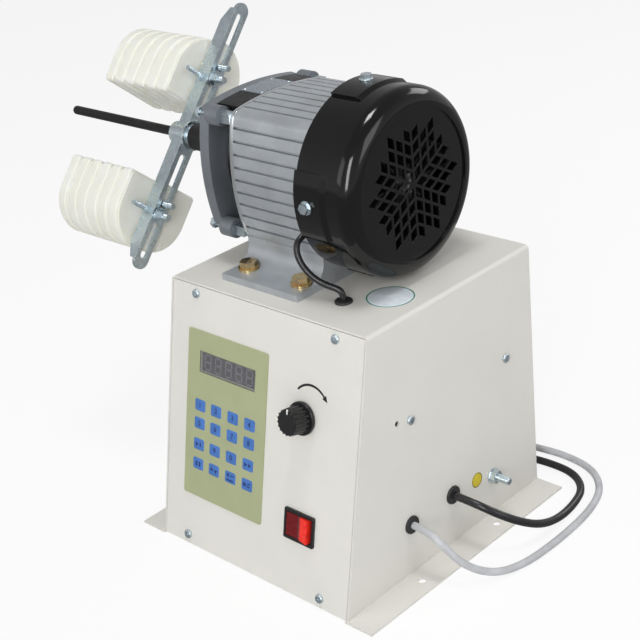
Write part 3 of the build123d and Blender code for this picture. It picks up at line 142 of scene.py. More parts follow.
class Finish(Nodes):
    """A Principled material, with steps that vary its colour, roughness and surface.

    Roughness is a range, and edges catch the light as if broken by the edge radius.
    """

    def __init__(self, name, color, roughness, metallic=0.0, edge=None, sockets=None):
        self.material = bpy.data.materials.new(name)
        self.material.use_nodes = True
        super().__init__(self.material.node_tree)
        self.shader = self.tree.nodes["Principled BSDF"]
        self.color = (*color, 1.0)
        self.roughness = roughness
        self.normal = None
        settings = {
            "Base Color": self.color, "Roughness": sum(roughness) / 2, "Metallic": metallic,
            **(sockets or {}),
        }
        for socket, value in settings.items():
            self.shader.inputs[socket].default_value = value
        if edge is not None:
            bevel = self.add("ShaderNodeBevel", Radius=edge)
            bevel.samples = EDGE_SAMPLES
            self.relief(bevel)

    def relief(self, node):
        """Takes the surface's direction from a node."""
        self.normal = node.outputs["Normal"]
        self.join(self.normal, self.shader.inputs["Normal"])

    def place(self, stretch=(1, 1, 1)):
        """Coordinates on the part in metres, stretched by direction."""
        coordinates = self.add("ShaderNodeTexCoord").outputs["Object"]
        return self.add("ShaderNodeMapping", Vector=coordinates, Scale=stretch).outputs["Vector"]

    def axis(self, letter):
        """One coordinate on the part."""
        return self.add("ShaderNodeSeparateXYZ", Vector=self.place()).outputs[letter]

    def noise(self, size, detail=3.0, stretch=(1, 1, 1)):
        """Noise with features about this size."""
        place = self.place(stretch)
        node = self.add("ShaderNodeTexNoise", Vector=place, Scale=1.0 / size, Detail=detail)
        return node.outputs["Fac"]

    def cells(self, size):
        """Flat cells of about this size, each with its own shade."""
        node = self.add("ShaderNodeTexVoronoi", Vector=self.place(), Scale=1.0 / size)
        return self.add("ShaderNodeSeparateXYZ", Vector=node.outputs["Color"]).outputs["X"]

    def tint(self, value, low, high, color, amount=1.0):
        """Another colour where the value rises from low to high."""
        node = self.tree.nodes.new("ShaderNodeMix")
        node.data_type = "RGBA"
        self.join(self.ranged(value, low, high, 0.0, amount), node.inputs["Factor"])
        self.join(self.color, node.inputs["A"])
        self.join((*color, 1.0), node.inputs["B"])
        self.color = node.outputs["Result"]
        self.join(self.color, self.shader.inputs["Base Color"])

    def rough(self, noise):
        """Roughness that runs over its range with a noise."""
        self.join(
            self.ranged(noise, *NOISE_MIDDLE, *self.roughness), self.shader.inputs["Roughness"],
        )

    def bump(self, value, depth, strength):
        """Relief of this depth over whatever relief came before."""
        node = self.add("ShaderNodeBump", Height=value, Distance=depth, Strength=strength)
        if self.normal is not None:
            self.join(self.normal, node.inputs["Normal"])
        self.relief(node)


def shade(color, share):
    """A darker or lighter shade of a colour."""
    return tuple(share * c for c in color)


def powder_coat(name, color):
    """Baked powder coat with a fine orange peel."""
    paint = Finish(name, color, (0.38, 0.48), edge=0.7 * MM, sockets={"Specular IOR Level": 0.42})
    paint.tint(paint.noise(60 * MM), 0.35, 0.75, shade(color, 0.955))
    paint.rough(paint.noise(9 * MM))
    paint.bump(paint.noise(1.3 * MM, 2.0), 0.035 * MM, 0.6)
    return paint


def plated_steel(name, color, stain, roughness=(0.2, 0.42)):
    """Bright plating: cloudy stains, fine rubbing marks and soft edges."""
    plate = Finish(name, color, roughness, metallic=1.0, edge=0.35 * MM)
    plate.tint(plate.noise(14 * MM, 5.0), 0.48, 0.72, stain, 0.6)
    plate.tint(plate.noise(3.5 * MM, 4.0), 0.58, 0.8, shade(color, 0.75), 0.4)
    plate.rough(plate.noise(6 * MM, 5.0))
    plate.bump(plate.noise(0.9 * MM, 3.0, (0.25, 1, 1)), 0.02 * MM, 0.5)
    return plate


def cast_metal(name, color, grain, metallic):
    """Die-cast surface: satin, finely pitted and a little cloudy."""
    cast = Finish(name, color, (0.34, 0.5), metallic, edge=0.6 * MM)
    cast.tint(cast.noise(22 * MM, 4.0), 0.42, 0.72, shade(color, 0.8), 0.7)
    cast.tint(cast.noise(2.2 * MM, 3.0), 0.6, 0.75, shade(color, 1.25), 0.35)
    cast.rough(cast.noise(8 * MM))
    cast.bump(cast.noise(grain, 4.0), 0.05 * MM, 0.7)
    return cast


def moulded(name, color, roughness):
    """Moulded plastic, rubber or print with a fine grain."""
    plastic = Finish(name, color, (roughness - 0.05, roughness + 0.07), edge=0.25 * MM)
    plastic.tint(plastic.noise(11 * MM), 0.45, 0.75, shade(color, 1.5), 0.5)
    plastic.rough(plastic.noise(5 * MM))
    plastic.bump(plastic.noise(0.5 * MM, 2.0), 0.015 * MM, 0.6)
    return plastic


def galvanised_sheet():
    sheet = Finish("galvanised_sheet", (0.62, 0.63, 0.64), (0.32, 0.5), 1.0, edge=0.4 * MM)
    sheet.tint(sheet.cells(9 * MM), 0.2, 0.9, (0.50, 0.52, 0.54), 0.6)
    sheet.rough(sheet.noise(7 * MM))
    return sheet


def gloss_paint():
    gloss = Finish(
        "black_gloss_paint", (0.004, 0.004, 0.0045), (0.07, 0.15), edge=0.5 * MM,
        sockets={"Specular IOR Level": 0.42},
    )
    gloss.rough(gloss.noise(12 * MM))
    gloss.bump(gloss.noise(5 * MM, 2.0), 0.03 * MM, 0.4)
    return gloss


def blacked_steel():
    steel = Finish(
        "blacked_steel", (0.012, 0.012, 0.013), (0.32, 0.48), edge=0.4 * MM,
        sockets={"Specular IOR Level": 0.3},
    )
    steel.tint(steel.noise(5 * MM, 5.0, (0.3, 1, 1)), 0.55, 0.8, (0.035, 0.035, 0.038), 0.8)
    steel.rough(steel.noise(4 * MM, 4.0))
    return steel


def olive_film():
    film = Finish(
        "olive_film", (0.40, 0.43, 0.25), (0.36, 0.46), sockets={"Specular IOR Level": 0.4},
    )
    film.tint(film.noise(30 * MM), 0.4, 0.7, (0.375, 0.405, 0.235))
    film.rough(film.noise(6 * MM))
    film.bump(film.noise(0.35 * MM, 2.0), 0.01 * MM, 0.5)
    return film


def smoked_window():
    window = Finish("smoked_window", (0.09, 0.09, 0.10), (0.05, 0.12), sockets={"Alpha": 0.3})
    window.tint(window.noise(16 * MM), 0.5, 0.8, (0.16, 0.16, 0.17), 0.5)
    window.rough(window.noise(8 * MM))
    return window


# Across the rocker: where the painted shade starts to grey, the middle, and where the painted
# light is full.
ROCKER_DARK_X = 48.0 * MM
ROCKER_MIDDLE_X = 50.5 * MM
ROCKER_BRIGHT_X = 52.5 * MM


def red_rocker_painted_light():
    """Translucent red, with painted shade on the left half, greyer towards the middle, and painted
    light on the right half.
    """
    rocker = Finish(
        "red_rocker_painted_light", (0.15, 0.006, 0.008), (0.2, 0.34), edge=0.5 * MM,
        sockets={"Specular IOR Level": 0.28},
    )
    # Painted shade on the left half, greying towards the middle, then painted light on the right
    # half.
    rocker.tint(rocker.axis("X"), ROCKER_DARK_X, ROCKER_MIDDLE_X, (0.14, 0.035, 0.04))
    rocker.tint(rocker.axis("X"), ROCKER_MIDDLE_X, ROCKER_BRIGHT_X, (0.95, 0.032, 0.018))
    rocker.tint(rocker.noise(4 * MM), 0.5, 0.7, (0.16, 0.008, 0.012), 0.3)
    rocker.rough(rocker.noise(3 * MM))
    return rocker


def cast_nylon():
    nylon = Finish("cast_nylon", (0.84, 0.84, 0.78), (0.3, 0.46), edge=0.6 * MM, sockets={
        "Subsurface Weight": 0.35, "Subsurface Scale": 6 * MM,
        "Subsurface Radius": (1.0, 0.9, 0.6), "Specular IOR Level": 0.4,
    })
    nylon.tint(nylon.noise(20 * MM), 0.4, 0.75, (0.80, 0.80, 0.71))
    nylon.tint(nylon.noise(2.5 * MM, 4.0, (3, 1, 1)), 0.62, 0.8, (0.66, 0.65, 0.57), 0.35)
    nylon.rough(nylon.noise(5 * MM))
    nylon.bump(nylon.noise(0.8 * MM, 3.0, (2, 0.4, 0.4)), 0.03 * MM, 0.5)
    return nylon


def bare_foil():
    foil = Finish("bare_foil", (0.36, 0.40, 0.45), (0.24, 0.4), metallic=0.6)
    foil.tint(foil.noise(1.6 * MM, 3.0), 0.5, 0.62, (0.16, 0.19, 0.23), 0.7)
    foil.rough(foil.noise(3 * MM))
    return foil


def machined_rim():
    rim = Finish("machined_rim", (0.78, 0.80, 0.82), (0.12, 0.26), metallic=1.0)
    rim.rough(rim.noise(3 * MM))
    rim.bump(rim.noise(0.5 * MM, 2.0), 0.01 * MM, 0.5)
    return rim


PLUG_FACE_X = -224.0 * MM
PLUG_FADE = 0.2 * MM


def moulded_plug():
    """Black rubber, and bare brass for the pins that stand out of its face."""
    plug = moulded("moulded_plug", (0.02, 0.02, 0.021), 0.42)
    pins = plug.ranged(plug.axis("X"), PLUG_FACE_X - PLUG_FADE, PLUG_FACE_X, 1.0, 0.0)
    plug.tint(pins, 0.0, 1.0, (0.66, 0.60, 0.46))
    plug.join(pins, plug.shader.inputs["Metallic"])
    return plug


MOULDED = {
    # finish: name, colour, roughness
    "black_plastic": ("black_plastic", (0.012, 0.012, 0.013), 0.32),
    "rubber": ("black_rubber", (0.02, 0.02, 0.021), 0.5),
    "board": ("green_board", (0.03, 0.16, 0.07), 0.4),
    "grey_pvc": ("grey_pvc", (0.46, 0.47, 0.49), 0.42),
    "knob": ("glossy_knob", (0.012, 0.012, 0.013), 0.2),
    "cord_black": ("black_sheath", (0.014, 0.014, 0.016), 0.28),
    "key": ("blue_print", (0.055, 0.165, 0.47), 0.36),
    "key_ink": ("dark_ink", (0.012, 0.03, 0.16), 0.4),
    "black_ink": ("black_ink", (0.01, 0.01, 0.01), 0.5),
    "white_ink": ("white_ink", (0.80, 0.80, 0.80), 0.45),
    "display": ("display_face", (0.25, 0.26, 0.27), 0.5),
    "segment": ("unlit_segment", (0.55, 0.54, 0.58), 0.5),
    "paper": ("sticker_paper", (0.66, 0.72, 0.76), 0.4),
    "green_ink": ("green_ink", (0.01, 0.19, 0.10), 0.4),
    "yellow_ink": ("yellow_ink", (0.62, 0.50, 0.02), 0.4),
}


def make_finishes():
    """One finish for each material slot of the record, and a few for pieces made here."""
    yellow = (0.70, 0.54, 0.27)
    made = {
        "cabinet": powder_coat("cream_powder_coat", (0.74, 0.725, 0.68)),
        "zinc": plated_steel("bright_zinc", (0.66, 0.75, 0.80), (0.50, 0.59, 0.64)),
        "yellow_zinc": plated_steel("yellow_zinc", yellow, (0.62, 0.36, 0.30), (0.16, 0.34)),
        "shaft": plated_steel("ground_steel", (0.58, 0.59, 0.60), (0.45, 0.46, 0.47)),
        "core": cast_metal("laminated_steel", (0.28, 0.28, 0.30), 0.6 * MM, 0.7),
        "housing": cast_metal("die_cast_housing", (0.50, 0.53, 0.56), 0.9 * MM, 0.6),
        "end_plate": cast_metal("cast_end_plate", (0.23, 0.25, 0.275), 1.2 * MM, 0.5),
        "inner_sheet": galvanised_sheet(),
        "black_gloss": gloss_paint(),
        "black_metal": blacked_steel(),
        "membrane": olive_film(),
        "window": smoked_window(),
        "rocker": red_rocker_painted_light(),
        "nylon": cast_nylon(),
        "label": bare_foil(),
        "plug": moulded_plug(),
        "machined": machined_rim(),
    }
    for key, (name, color, roughness) in MOULDED.items():
        made[key] = moulded(name, color, roughness)
    return {key: finish.material for key, finish in made.items()}


finishes = make_finishes()
OWN_FINISH = {"mains_plug": "plug", "speed_knob": "knob", "knob_cap": "knob"}
for entry in frame["record"]["subparts"]:
    finish = finishes[OWN_FINISH.get(entry["node"], entry["material_slot"])]
    for material_slot in bpy.data.objects[entry["node"]].material_slots:
        material_slot.material = finish


# ---------------------------------------------------------------- pieces
SHARP_ANGLE = math.radians(38)


def take_mesh(bm, name):
    """The mesh of an edited one, which is freed."""
    mesh = bpy.data.meshes.new(name)
    bm.to_mesh(mesh)
    bm.free()
    return mesh


def add_piece(name, bm, finish, body="cabinet"):
    """A mesh piece that rides on a body, smooth but for its sharp edges."""
    bmesh.ops.recalc_face_normals(bm, faces=bm.faces)
    for face in bm.faces:
        face.smooth = True
    for edge in bm.edges:
        edge.smooth = edge.calc_face_angle(0.0) < SHARP_ANGLE
    mesh = take_mesh(bm, name)
    mesh.materials.append(finishes[finish])
    piece = add_object(name, mesh)
    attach(piece, body)
    return piece


def skin(bm, loops):
    """Faces between each closed loop of vertices and the next."""
    for lower, upper in zip(loops, loops[1:]):
        for i in range(len(lower)):
            j = (i + 1) % len(lower)
            bm.faces.new((lower[i], lower[j], upper[j], upper[i]))


def loft(bm, place, rings, closed=False):
    """A skin over rings of (outline, height), closed at the last ring or at both ends."""
    loops = [
        [bm.verts.new(place @ Vector((x, y, height))) for x, y in outline]
        for outline, height in rings
    ]
    skin(bm, loops)
    bm.faces.new(loops[-1])
    if closed:
        bm.faces.new(loops[0])


def rounded(width, height, radius, steps=5):
    """Outline of a rectangle with round corners, centred on the origin."""
    points = []
    for corner, (sx, sy) in enumerate(((1, 1), (-1, 1), (-1, -1), (1, -1))):
        for step in range(steps + 1):
            turn = math.radians(90 * (corner + step / steps))
            points.append((
                sx * (width / 2 - radius) + radius * math.cos(turn),
                sy * (height / 2 - radius) + radius * math.sin(turn),
            ))
    return points


def circle(radius, count=48):
    """Outline of a circle, centred on the origin."""
    return [
        (radius * math.cos(math.tau * i / count), radius * math.sin(math.tau * i / count))
        for i in range(count)
    ]


def facing(origin, normal, right):
    """Matrix whose Z is the normal and whose X is the right direction."""
    normal = Vector(normal).normalized()
    right = Vector(right).normalized()
    rotation = Matrix((right, normal.cross(right), normal)).transposed().to_4x4()
    return Matrix.Translation(Vector(origin)) @ rotation


# ---------------------------------------------------------------- cords
MAINS_DIAMETER = 0.0065
PEDAL_DIAMETER = 0.0060
MOTOR_DIAMETER = 0.0050
TURN_GAP = 0.0016
HALF_TURNS_IN = 5
HALF_TURNS_OUT = 6
COIL_TAIL = 0.022
POINTS_PER_HALF_TURN = 8
SPLINE_SHRINK = 0.981  # a spline with 16 points a turn runs at this share of their radius
MAINS_COIL = (-0.142, 0.1038, 0.0275)  # centre x, start y, inner radius
PEDAL_COIL = (-0.025, 0.1225, 0.0255)
SPLINE_ORDER = 3
SPLINE_STEPS = 8
SHEATH_STEPS = 5

mains_route = [
    (0.1055, -0.0175, 0.0437), (0.1240, -0.0175, 0.0437), (0.1410, -0.0090, 0.0350),
    (0.1510, 0.0065, 0.0230), (0.1555, 0.0265, 0.0115), (0.1555, 0.0495, 0.0046),
    (0.1530, 0.0740, 0.00325), (0.1460, 0.0980, 0.00325), (0.1270, 0.1140, 0.00325),
    (0.1000, 0.1165, 0.00325), (0.0690, 0.1115, 0.00325), (0.0360, 0.1065, 0.00325),
    (0.0, 0.1036, 0.00325), (-0.0360, 0.1029, 0.00325), (-0.0720, 0.1033, 0.00325),
    (-0.1080, 0.1038, 0.00325), (-0.1355, 0.1038, 0.00325),
]
pedal_route = [
    (0.1055, -0.0677, 0.0437), (0.1190, -0.0677, 0.0437), (0.1320, -0.0660, 0.0350),
    (0.1420, -0.0610, 0.0220), (0.1515, -0.0505, 0.0110), (0.1610, -0.0355, 0.0044),
    (0.1680, -0.0140, 0.0030), (0.1705, 0.0140, 0.0030), (0.1705, 0.0460, 0.0030),
    (0.1675, 0.0780, 0.0030), (0.1580, 0.1070, 0.0030), (0.1365, 0.1280, 0.0030),
    (0.1060, 0.1345, 0.0030), (0.0750, 0.1315, 0.0030), (0.0450, 0.1255, 0.0030),
    (0.0140, 0.1225, 0.0030), (-0.0190, 0.1225, 0.0030),
]
motor_route = [
    (0.0140, -0.0586, 0.2620), (0.0130, -0.0675, 0.2595), (0.0150, -0.0720, 0.2520),
    (0.0195, -0.0730, 0.2440), (0.0255, -0.0715, 0.2365), (0.0320, -0.0690, 0.2310),
    (0.0385, -0.0665, 0.2280), (0.0448, -0.0635, 0.2260), (0.0490, -0.0620, 0.2230),
    (0.0490, -0.0620, 0.2174),
]


def coil_turns(centre_x, start_y, inner_radius, diameter):
    """Points of a put-away coil: in along the floor, up a layer, out again, then a tail."""
    step = (diameter + TURN_GAP) / 2
    low = diameter / 2
    high = low + diameter + TURN_GAP
    stations = [
        (inner_radius + step * (HALF_TURNS_IN - i), low) for i in range(HALF_TURNS_IN + 1)
    ]
    stations += [(inner_radius + step * i, high) for i in range(HALF_TURNS_OUT + 1)]
    centre_y = start_y + stations[0][0]
    points = []
    for half, (here, there) in enumerate(zip(stations, stations[1:])):
        (radius, height), (next_radius, next_height) = here, there
        for i in range(POINTS_PER_HALF_TURN):
            share = i / POINTS_PER_HALF_TURN
            turn = math.pi * (half + share)
            reach = (radius + (next_radius - radius) * share) / SPLINE_SHRINK
            rise = share * share * (3 - 2 * share)
            points.append((
                centre_x - reach * math.sin(turn),
                centre_y - reach * math.cos(turn),
                height + (next_height - height) * rise,
            ))
    last_y = centre_y - stations[-1][0]
    points.append((centre_x, last_y, high))
    points.append((centre_x - COIL_TAIL, last_y, high))
    return points


def add_cord(name, route, diameter, finish):
    """One smooth cord whose control points are the route."""
    curve = bpy.data.curves.new(name, "CURVE")
    curve.dimensions = "3D"
    curve.bevel_depth = diameter / 2
    curve.bevel_resolution = SHEATH_STEPS
    curve.use_fill_caps = True
    spline = curve.splines.new("NURBS")
    spline.points.add(len(route) - 1)
    for point, place in zip(spline.points, route):
        point.co = (*place, 1.0)
    spline.order_u = SPLINE_ORDER
    spline.use_endpoint_u = True
    spline.resolution_u = SPLINE_STEPS
    curve.materials.append(finishes[finish])
    cord = add_object(name, curve)
    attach(cord, "cabinet")
    return cord


mains_cord = add_cord(
    "mains_cord", mains_route + coil_turns(*MAINS_COIL, MAINS_DIAMETER),
    MAINS_DIAMETER, "cord_black",
)
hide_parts("mains_lead", "mains_coil")

pedal_cord = add_cord(
    "pedal_cord", pedal_route + coil_turns(*PEDAL_COIL, PEDAL_DIAMETER),
    PEDAL_DIAMETER, "grey_pvc",
)
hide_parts("pedal_lead", "pedal_coil")

motor_cord = add_cord("motor_cord", motor_route, MOTOR_DIAMETER, "cord_black")
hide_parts("motor_lead")

# ---------------------------------------------------------------- front panel
PANEL_TOP_Y = -97.0 * MM
PANEL_TOP_Z = 215.4 * MM
PANEL_FOOT_Y = -145.8 * MM
PANEL_LEAN = math.atan2(PANEL_TOP_Y - PANEL_FOOT_Y, PANEL_TOP_Z)
PANEL_UP = Vector((0, math.sin(PANEL_LEAN), math.cos(PANEL_LEAN)))
PANEL_NORMAL = Vector((0, -math.cos(PANEL_LEAN), math.sin(PANEL_LEAN)))
FILM = 0.8 * MM
KEY_SIZE = (12.0 * MM, 9.8 * MM)
KEY_CORNER = 1.6 * MM
KEY_COLUMNS = (-64.7 * MM, -46.3 * MM, -27.3 * MM, -8.4 * MM)
KEY_ROWS = (98.0 * MM, 113.2 * MM, 131.0 * MM, 147.6 * MM)
KEY_RISE = 0.35 * MM
KEY_PROFILE = (
    # inset, height
    (0.0, -0.05 * MM), (0.25 * MM, 0.6 * KEY_RISE), (0.7 * MM, 0.92 * KEY_RISE),
    (1.5 * MM, KEY_RISE),
)
KEY_MARKS = (
    ("1", "2", "3", "4"),
    ("5", "6", "7", "8"),
    ("step", "9", "0", "fast"),
    ("hold", "swap", "adjust", "clear"),
)
GLYPH_SIZE = 6.0 * MM
GLYPH_WEIGHT = 0.12 * MM
PRINT = 0.04 * MM
KNOB_PLACE = (46.4 * MM, 76.1 * MM)


def on_panel(x, down, height=0.0):
    """Matrix on the leaning front: across, down the slope, and above it."""
    origin = Vector((x, PANEL_TOP_Y, PANEL_TOP_Z)) - PANEL_UP * down + PANEL_NORMAL * height
    return facing(origin, PANEL_NORMAL, (1, 0, 0))


def add_polygon(bm, place, points, thickness=PRINT):
    """A thin flat print with this outline."""
    loft(bm, place, [(points, -thickness), (points, thickness)])


def add_glyph(bm, place, text, size):
    """A generic figure in the plain built-in typeface."""
    curve = bpy.data.curves.new("glyph", "FONT")
    curve.body = text
    curve.size = size
    curve.align_x = "CENTER"
    curve.align_y = "CENTER"
    curve.extrude = PRINT
    curve.offset = GLYPH_WEIGHT
    holder = bpy.data.objects.new("glyph", curve)
    mesh = bpy.data.meshes.new_from_object(holder)
    mesh.transform(place)
    bm.from_mesh(mesh)
    bpy.data.objects.remove(holder)
    bpy.data.curves.remove(curve)
    bpy.data.meshes.remove(mesh)


def box_mark(x, y, width, height):
    """Outline of an upright rectangle."""
    left, right, low, high = x - width / 2, x + width / 2, y - height / 2, y + height / 2
    return [(left, low), (right, low), (right, high), (left, high)]


def arrow_mark(x, y, size, degrees):
    """Small triangle that points along an angle."""
    turns = [math.radians(degrees + corner) for corner in (0, 120, 240)]
    return [(x + size * math.cos(turn), y + size * math.sin(turn)) for turn in turns]


MARKS = {
    # outlines in millimetres from the middle of the key
    "step": [arrow_mark(-2.3, 0, 2.3, 0), box_mark(2.0, 0, 1.3, 3.8)],
    "fast": [arrow_mark(-2.4, 0, 2.2, 0), arrow_mark(1.9, 0, 2.2, 0)],
    "hold": [box_mark(-1.8, 0, 2.2, 4.2), box_mark(1.8, 0, 2.2, 4.2)],
    "swap": [arrow_mark(-2.3, 0.3, 2.1, 90), arrow_mark(2.3, -0.3, 2.1, -90)],
    "adjust": [
        box_mark(-2.4, 1.8, 3.4, 1.0), box_mark(-2.4, 1.8, 1.0, 3.4), box_mark(2.4, 1.8, 3.4, 1.0),
        box_mark(0, -2.4, 7.6, 1.2),
    ],
    "clear": [
        box_mark(-2.4, 0, 3.0, 3.0), box_mark(2.0, 1.1, 3.4, 1.0), box_mark(2.0, -1.1, 3.4, 1.0),
    ],
}


def add_keypad():
    """Sixteen low blisters in the film, with figures and plain marks."""
    keys = bmesh.new()
    marks = bmesh.new()
    width, height = KEY_SIZE
    for row, names in zip(KEY_ROWS, KEY_MARKS):
        for column, name in zip(KEY_COLUMNS, names):
            loft(keys, on_panel(column, row, FILM), [
                (rounded(width - 2 * inset, height - 2 * inset, KEY_CORNER - inset / 2), rise)
                for inset, rise in KEY_PROFILE
            ])
            top = on_panel(column, row, FILM + KEY_RISE)
            if name in MARKS:
                for outline in MARKS[name]:
                    add_polygon(marks, top, [(x * MM, y * MM) for x, y in outline])
            else:
                add_glyph(marks, top, name, GLYPH_SIZE)
    add_piece("key_blisters", keys, "key")
    add_piece("key_marks", marks, "key_ink")


add_keypad()

WINDOW_X = -35.7 * MM
WINDOW_DOWN = 61.6 * MM
OPENING = (59.4 * MM, 14.6 * MM)
DIGIT_COUNT = 5
DIGIT_PITCH = 11.7 * MM
DIGIT_SIZE = (6.6 * MM, 12.0 * MM)
DIGIT_SHIFT = -0.6 * MM
DIGIT_LIFT = 0.05 * MM
SEGMENT = 1.5 * MM
SEGMENT_GAP = 0.3 * MM
DOT_RADIUS = 0.6 * MM
DOT_SHIFT = 1.7 * MM
DISPLAY_DEPTH = -1.35 * MM
DISPLAY_THICKNESS = 0.1 * MM
DISPLAY_CORNER = 0.3 * MM


def segment_bar(length, upright, x, y):
    """One bar of a seven-segment digit, pointed at both ends."""
    half, tip = length / 2, SEGMENT / 2
    outline = [
        (-half, 0), (-half + tip, -tip), (half - tip, -tip),
        (half, 0), (half - tip, tip), (-half + tip, tip),
    ]
    if upright:
        outline = [(-b, a) for a, b in outline]
    return [(x + a, y + b) for a, b in outline]


def add_display():
    """Dark display face with five unlit digits behind the window."""
    face = bmesh.new()
    loft(face, on_panel(WINDOW_X, WINDOW_DOWN, DISPLAY_DEPTH), [
        (rounded(*OPENING, DISPLAY_CORNER), height) for height in (-DISPLAY_THICKNESS, 0.0)
    ])
    add_piece("display_face", face, "display")
    digits = bmesh.new()
    place = on_panel(WINDOW_X, WINDOW_DOWN, DISPLAY_DEPTH + DIGIT_LIFT)
    width, height = DIGIT_SIZE
    for i in range(DIGIT_COUNT):
        x = (i - (DIGIT_COUNT - 1) / 2) * DIGIT_PITCH + DIGIT_SHIFT
        bars = [(width - SEGMENT_GAP, False, x, y) for y in (-height / 2, 0, height / 2)]
        bars += [
            (height / 2 - SEGMENT_GAP, True, x + side * width / 2, half * height / 4)
            for side in (-1, 1) for half in (-1, 1)
        ]
        for bar in bars:
            add_polygon(digits, place, segment_bar(*bar))
        dot_x, dot_y = x + width / 2 + DOT_SHIFT, -height / 2
        add_polygon(digits, place, [(dot_x + a, dot_y + b) for a, b in circle(DOT_RADIUS, 12)])
    add_piece("display_digits", digits, "segment")


add_display()

ARC_CENTRE = (6.96 * MM, 9.19 * MM)
ARC_RADIUS = 17.9 * MM
ARC_FROM, ARC_TO = 140.0, 44.0
ARC_THIN, ARC_THICK = 0.5 * MM, 0.95 * MM
ARC_STEPS = 24
ARROW_LENGTH = 5.0 * MM
ARROW_HALF_WIDTH = 2.5 * MM


def on_arc(radius, turn):
    """Point of the printed arrow at a radius and an angle."""
    return ARC_CENTRE[0] + radius * math.cos(turn), ARC_CENTRE[1] + radius * math.sin(turn)


def add_turn_arrow():
    """Printed arrow around the knob, its line widest halfway."""
    outer, inner = [], []
    for i in range(ARC_STEPS + 1):
        share = i / ARC_STEPS
        turn = math.radians(ARC_FROM + (ARC_TO - ARC_FROM) * share)
        half = ARC_THIN + (ARC_THICK - ARC_THIN) * math.sin(math.pi * (0.25 + share / 2))
        outer.append(on_arc(ARC_RADIUS + half, turn))
        inner.append(on_arc(ARC_RADIUS - half, turn))
    end = math.radians(ARC_TO)
    tip = Vector(on_arc(ARC_RADIUS, end))
    along = Vector((math.sin(end), -math.cos(end)))
    across = ARROW_HALF_WIDTH * Vector((math.cos(end), math.sin(end)))
    bm = bmesh.new()
    place = on_panel(*KNOB_PLACE)
    add_polygon(bm, place, outer + inner[::-1])
    add_polygon(bm, place, [tip + across, tip + along * ARROW_LENGTH, tip - across])
    add_piece("turn_arrow", bm, "black_ink")


add_turn_arrow()

CAP_TOP = 17.4 * MM
POINTER_MIDDLE = 8.4 * MM
POINTER_SIZE = (1.2 * MM, 3.8 * MM)
POINTER_SINK = 0.2 * MM
POINTER_THICKNESS = 0.26 * MM


def add_pointer():
    """White line on the knob's cap, pointing up the slope."""
    bm = bmesh.new()
    place = on_panel(*KNOB_PLACE, CAP_TOP - POINTER_SINK)
    add_polygon(bm, place, box_mark(0, POINTER_MIDDLE, *POINTER_SIZE), POINTER_THICKNESS)
    add_piece("knob_pointer", bm, "white_ink", "speed_control")


add_pointer()

# ---------------------------------------------------------------- labels
STICKER_PLACE = (73.0 * MM, -37.0 * MM)
STICKER_RADIUS = 18.5 * MM
STICKER_PROFILE = (
    # inset, height
    (0.0, 0.0), (0.0, 0.08 * MM), (0.1 * MM, 0.12 * MM),
)
STICKER_RING = (0.3 * MM, 1.3 * MM, 0.16 * MM)  # insets of its edges, height
LABEL_POINTS = 64
SIDE_X = 103.5 * MM
DISC_PLACE = (13.3 * MM, 41.1 * MM)
DISC_RADIUS = 6.5 * MM
DISC_HEIGHT = 0.1 * MM
DISC_RING = (0.2 * MM, 0.8 * MM, 0.14 * MM)


def add_ring(name, place, radius, ring, ink):
    """A flat printed ring on a round label of this radius."""
    *insets, height = ring
    bm = bmesh.new()
    skin(bm, [
        [
            bm.verts.new(place @ Vector((x, y, height)))
            for x, y in circle(radius - inset, LABEL_POINTS)
        ]
        for inset in insets
    ])
    add_piece(name, bm, ink)


def add_labels():
    """Bare round sticker on the top and bare earth disc on the side."""
    top = facing((*STICKER_PLACE, PANEL_TOP_Z), (0, 0, 1), (1, 0, 0))
    paper = bmesh.new()
    loft(paper, top, [
        (circle(STICKER_RADIUS - inset, LABEL_POINTS), height) for inset, height in STICKER_PROFILE
    ])
    add_piece("round_sticker", paper, "paper")
    add_ring("sticker_rim", top, STICKER_RADIUS, STICKER_RING, "green_ink")
    side = facing((SIDE_X, *DISC_PLACE), (1, 0, 0), (0, 1, 0))
    disc = bmesh.new()
    loft(disc, side, [(circle(DISC_RADIUS), height) for height in (0.0, DISC_HEIGHT)])
    add_piece("earth_disc", disc, "yellow_ink")
    add_ring("earth_disc_rim", side, DISC_RADIUS, DISC_RING, "black_ink")


add_labels()

# ---------------------------------------------------------------- screw heads
HEAD_RADIUS = 3.7 * MM
HEAD_HEIGHT = 2.4 * MM
HEAD_EDGE = 0.45  # share of the height that stands upright
HEAD_DOME = 0.5
HEAD_ROUND = 1.3 * MM
HEAD_FLAT = 0.35  # share of the radius
HEAD_POINTS = 32
CROSS_LENGTH = 4.2 * MM
CROSS_WIDTH = 0.95 * MM
CROSS_DEPTH = 1.3 * MM
CROSS_TAPER = (0.72, 0.9)
CUTTER_RISE = 1.0 * MM
HEAD_TURN = 0.6
HEAD_TURN_STEP = 1.3


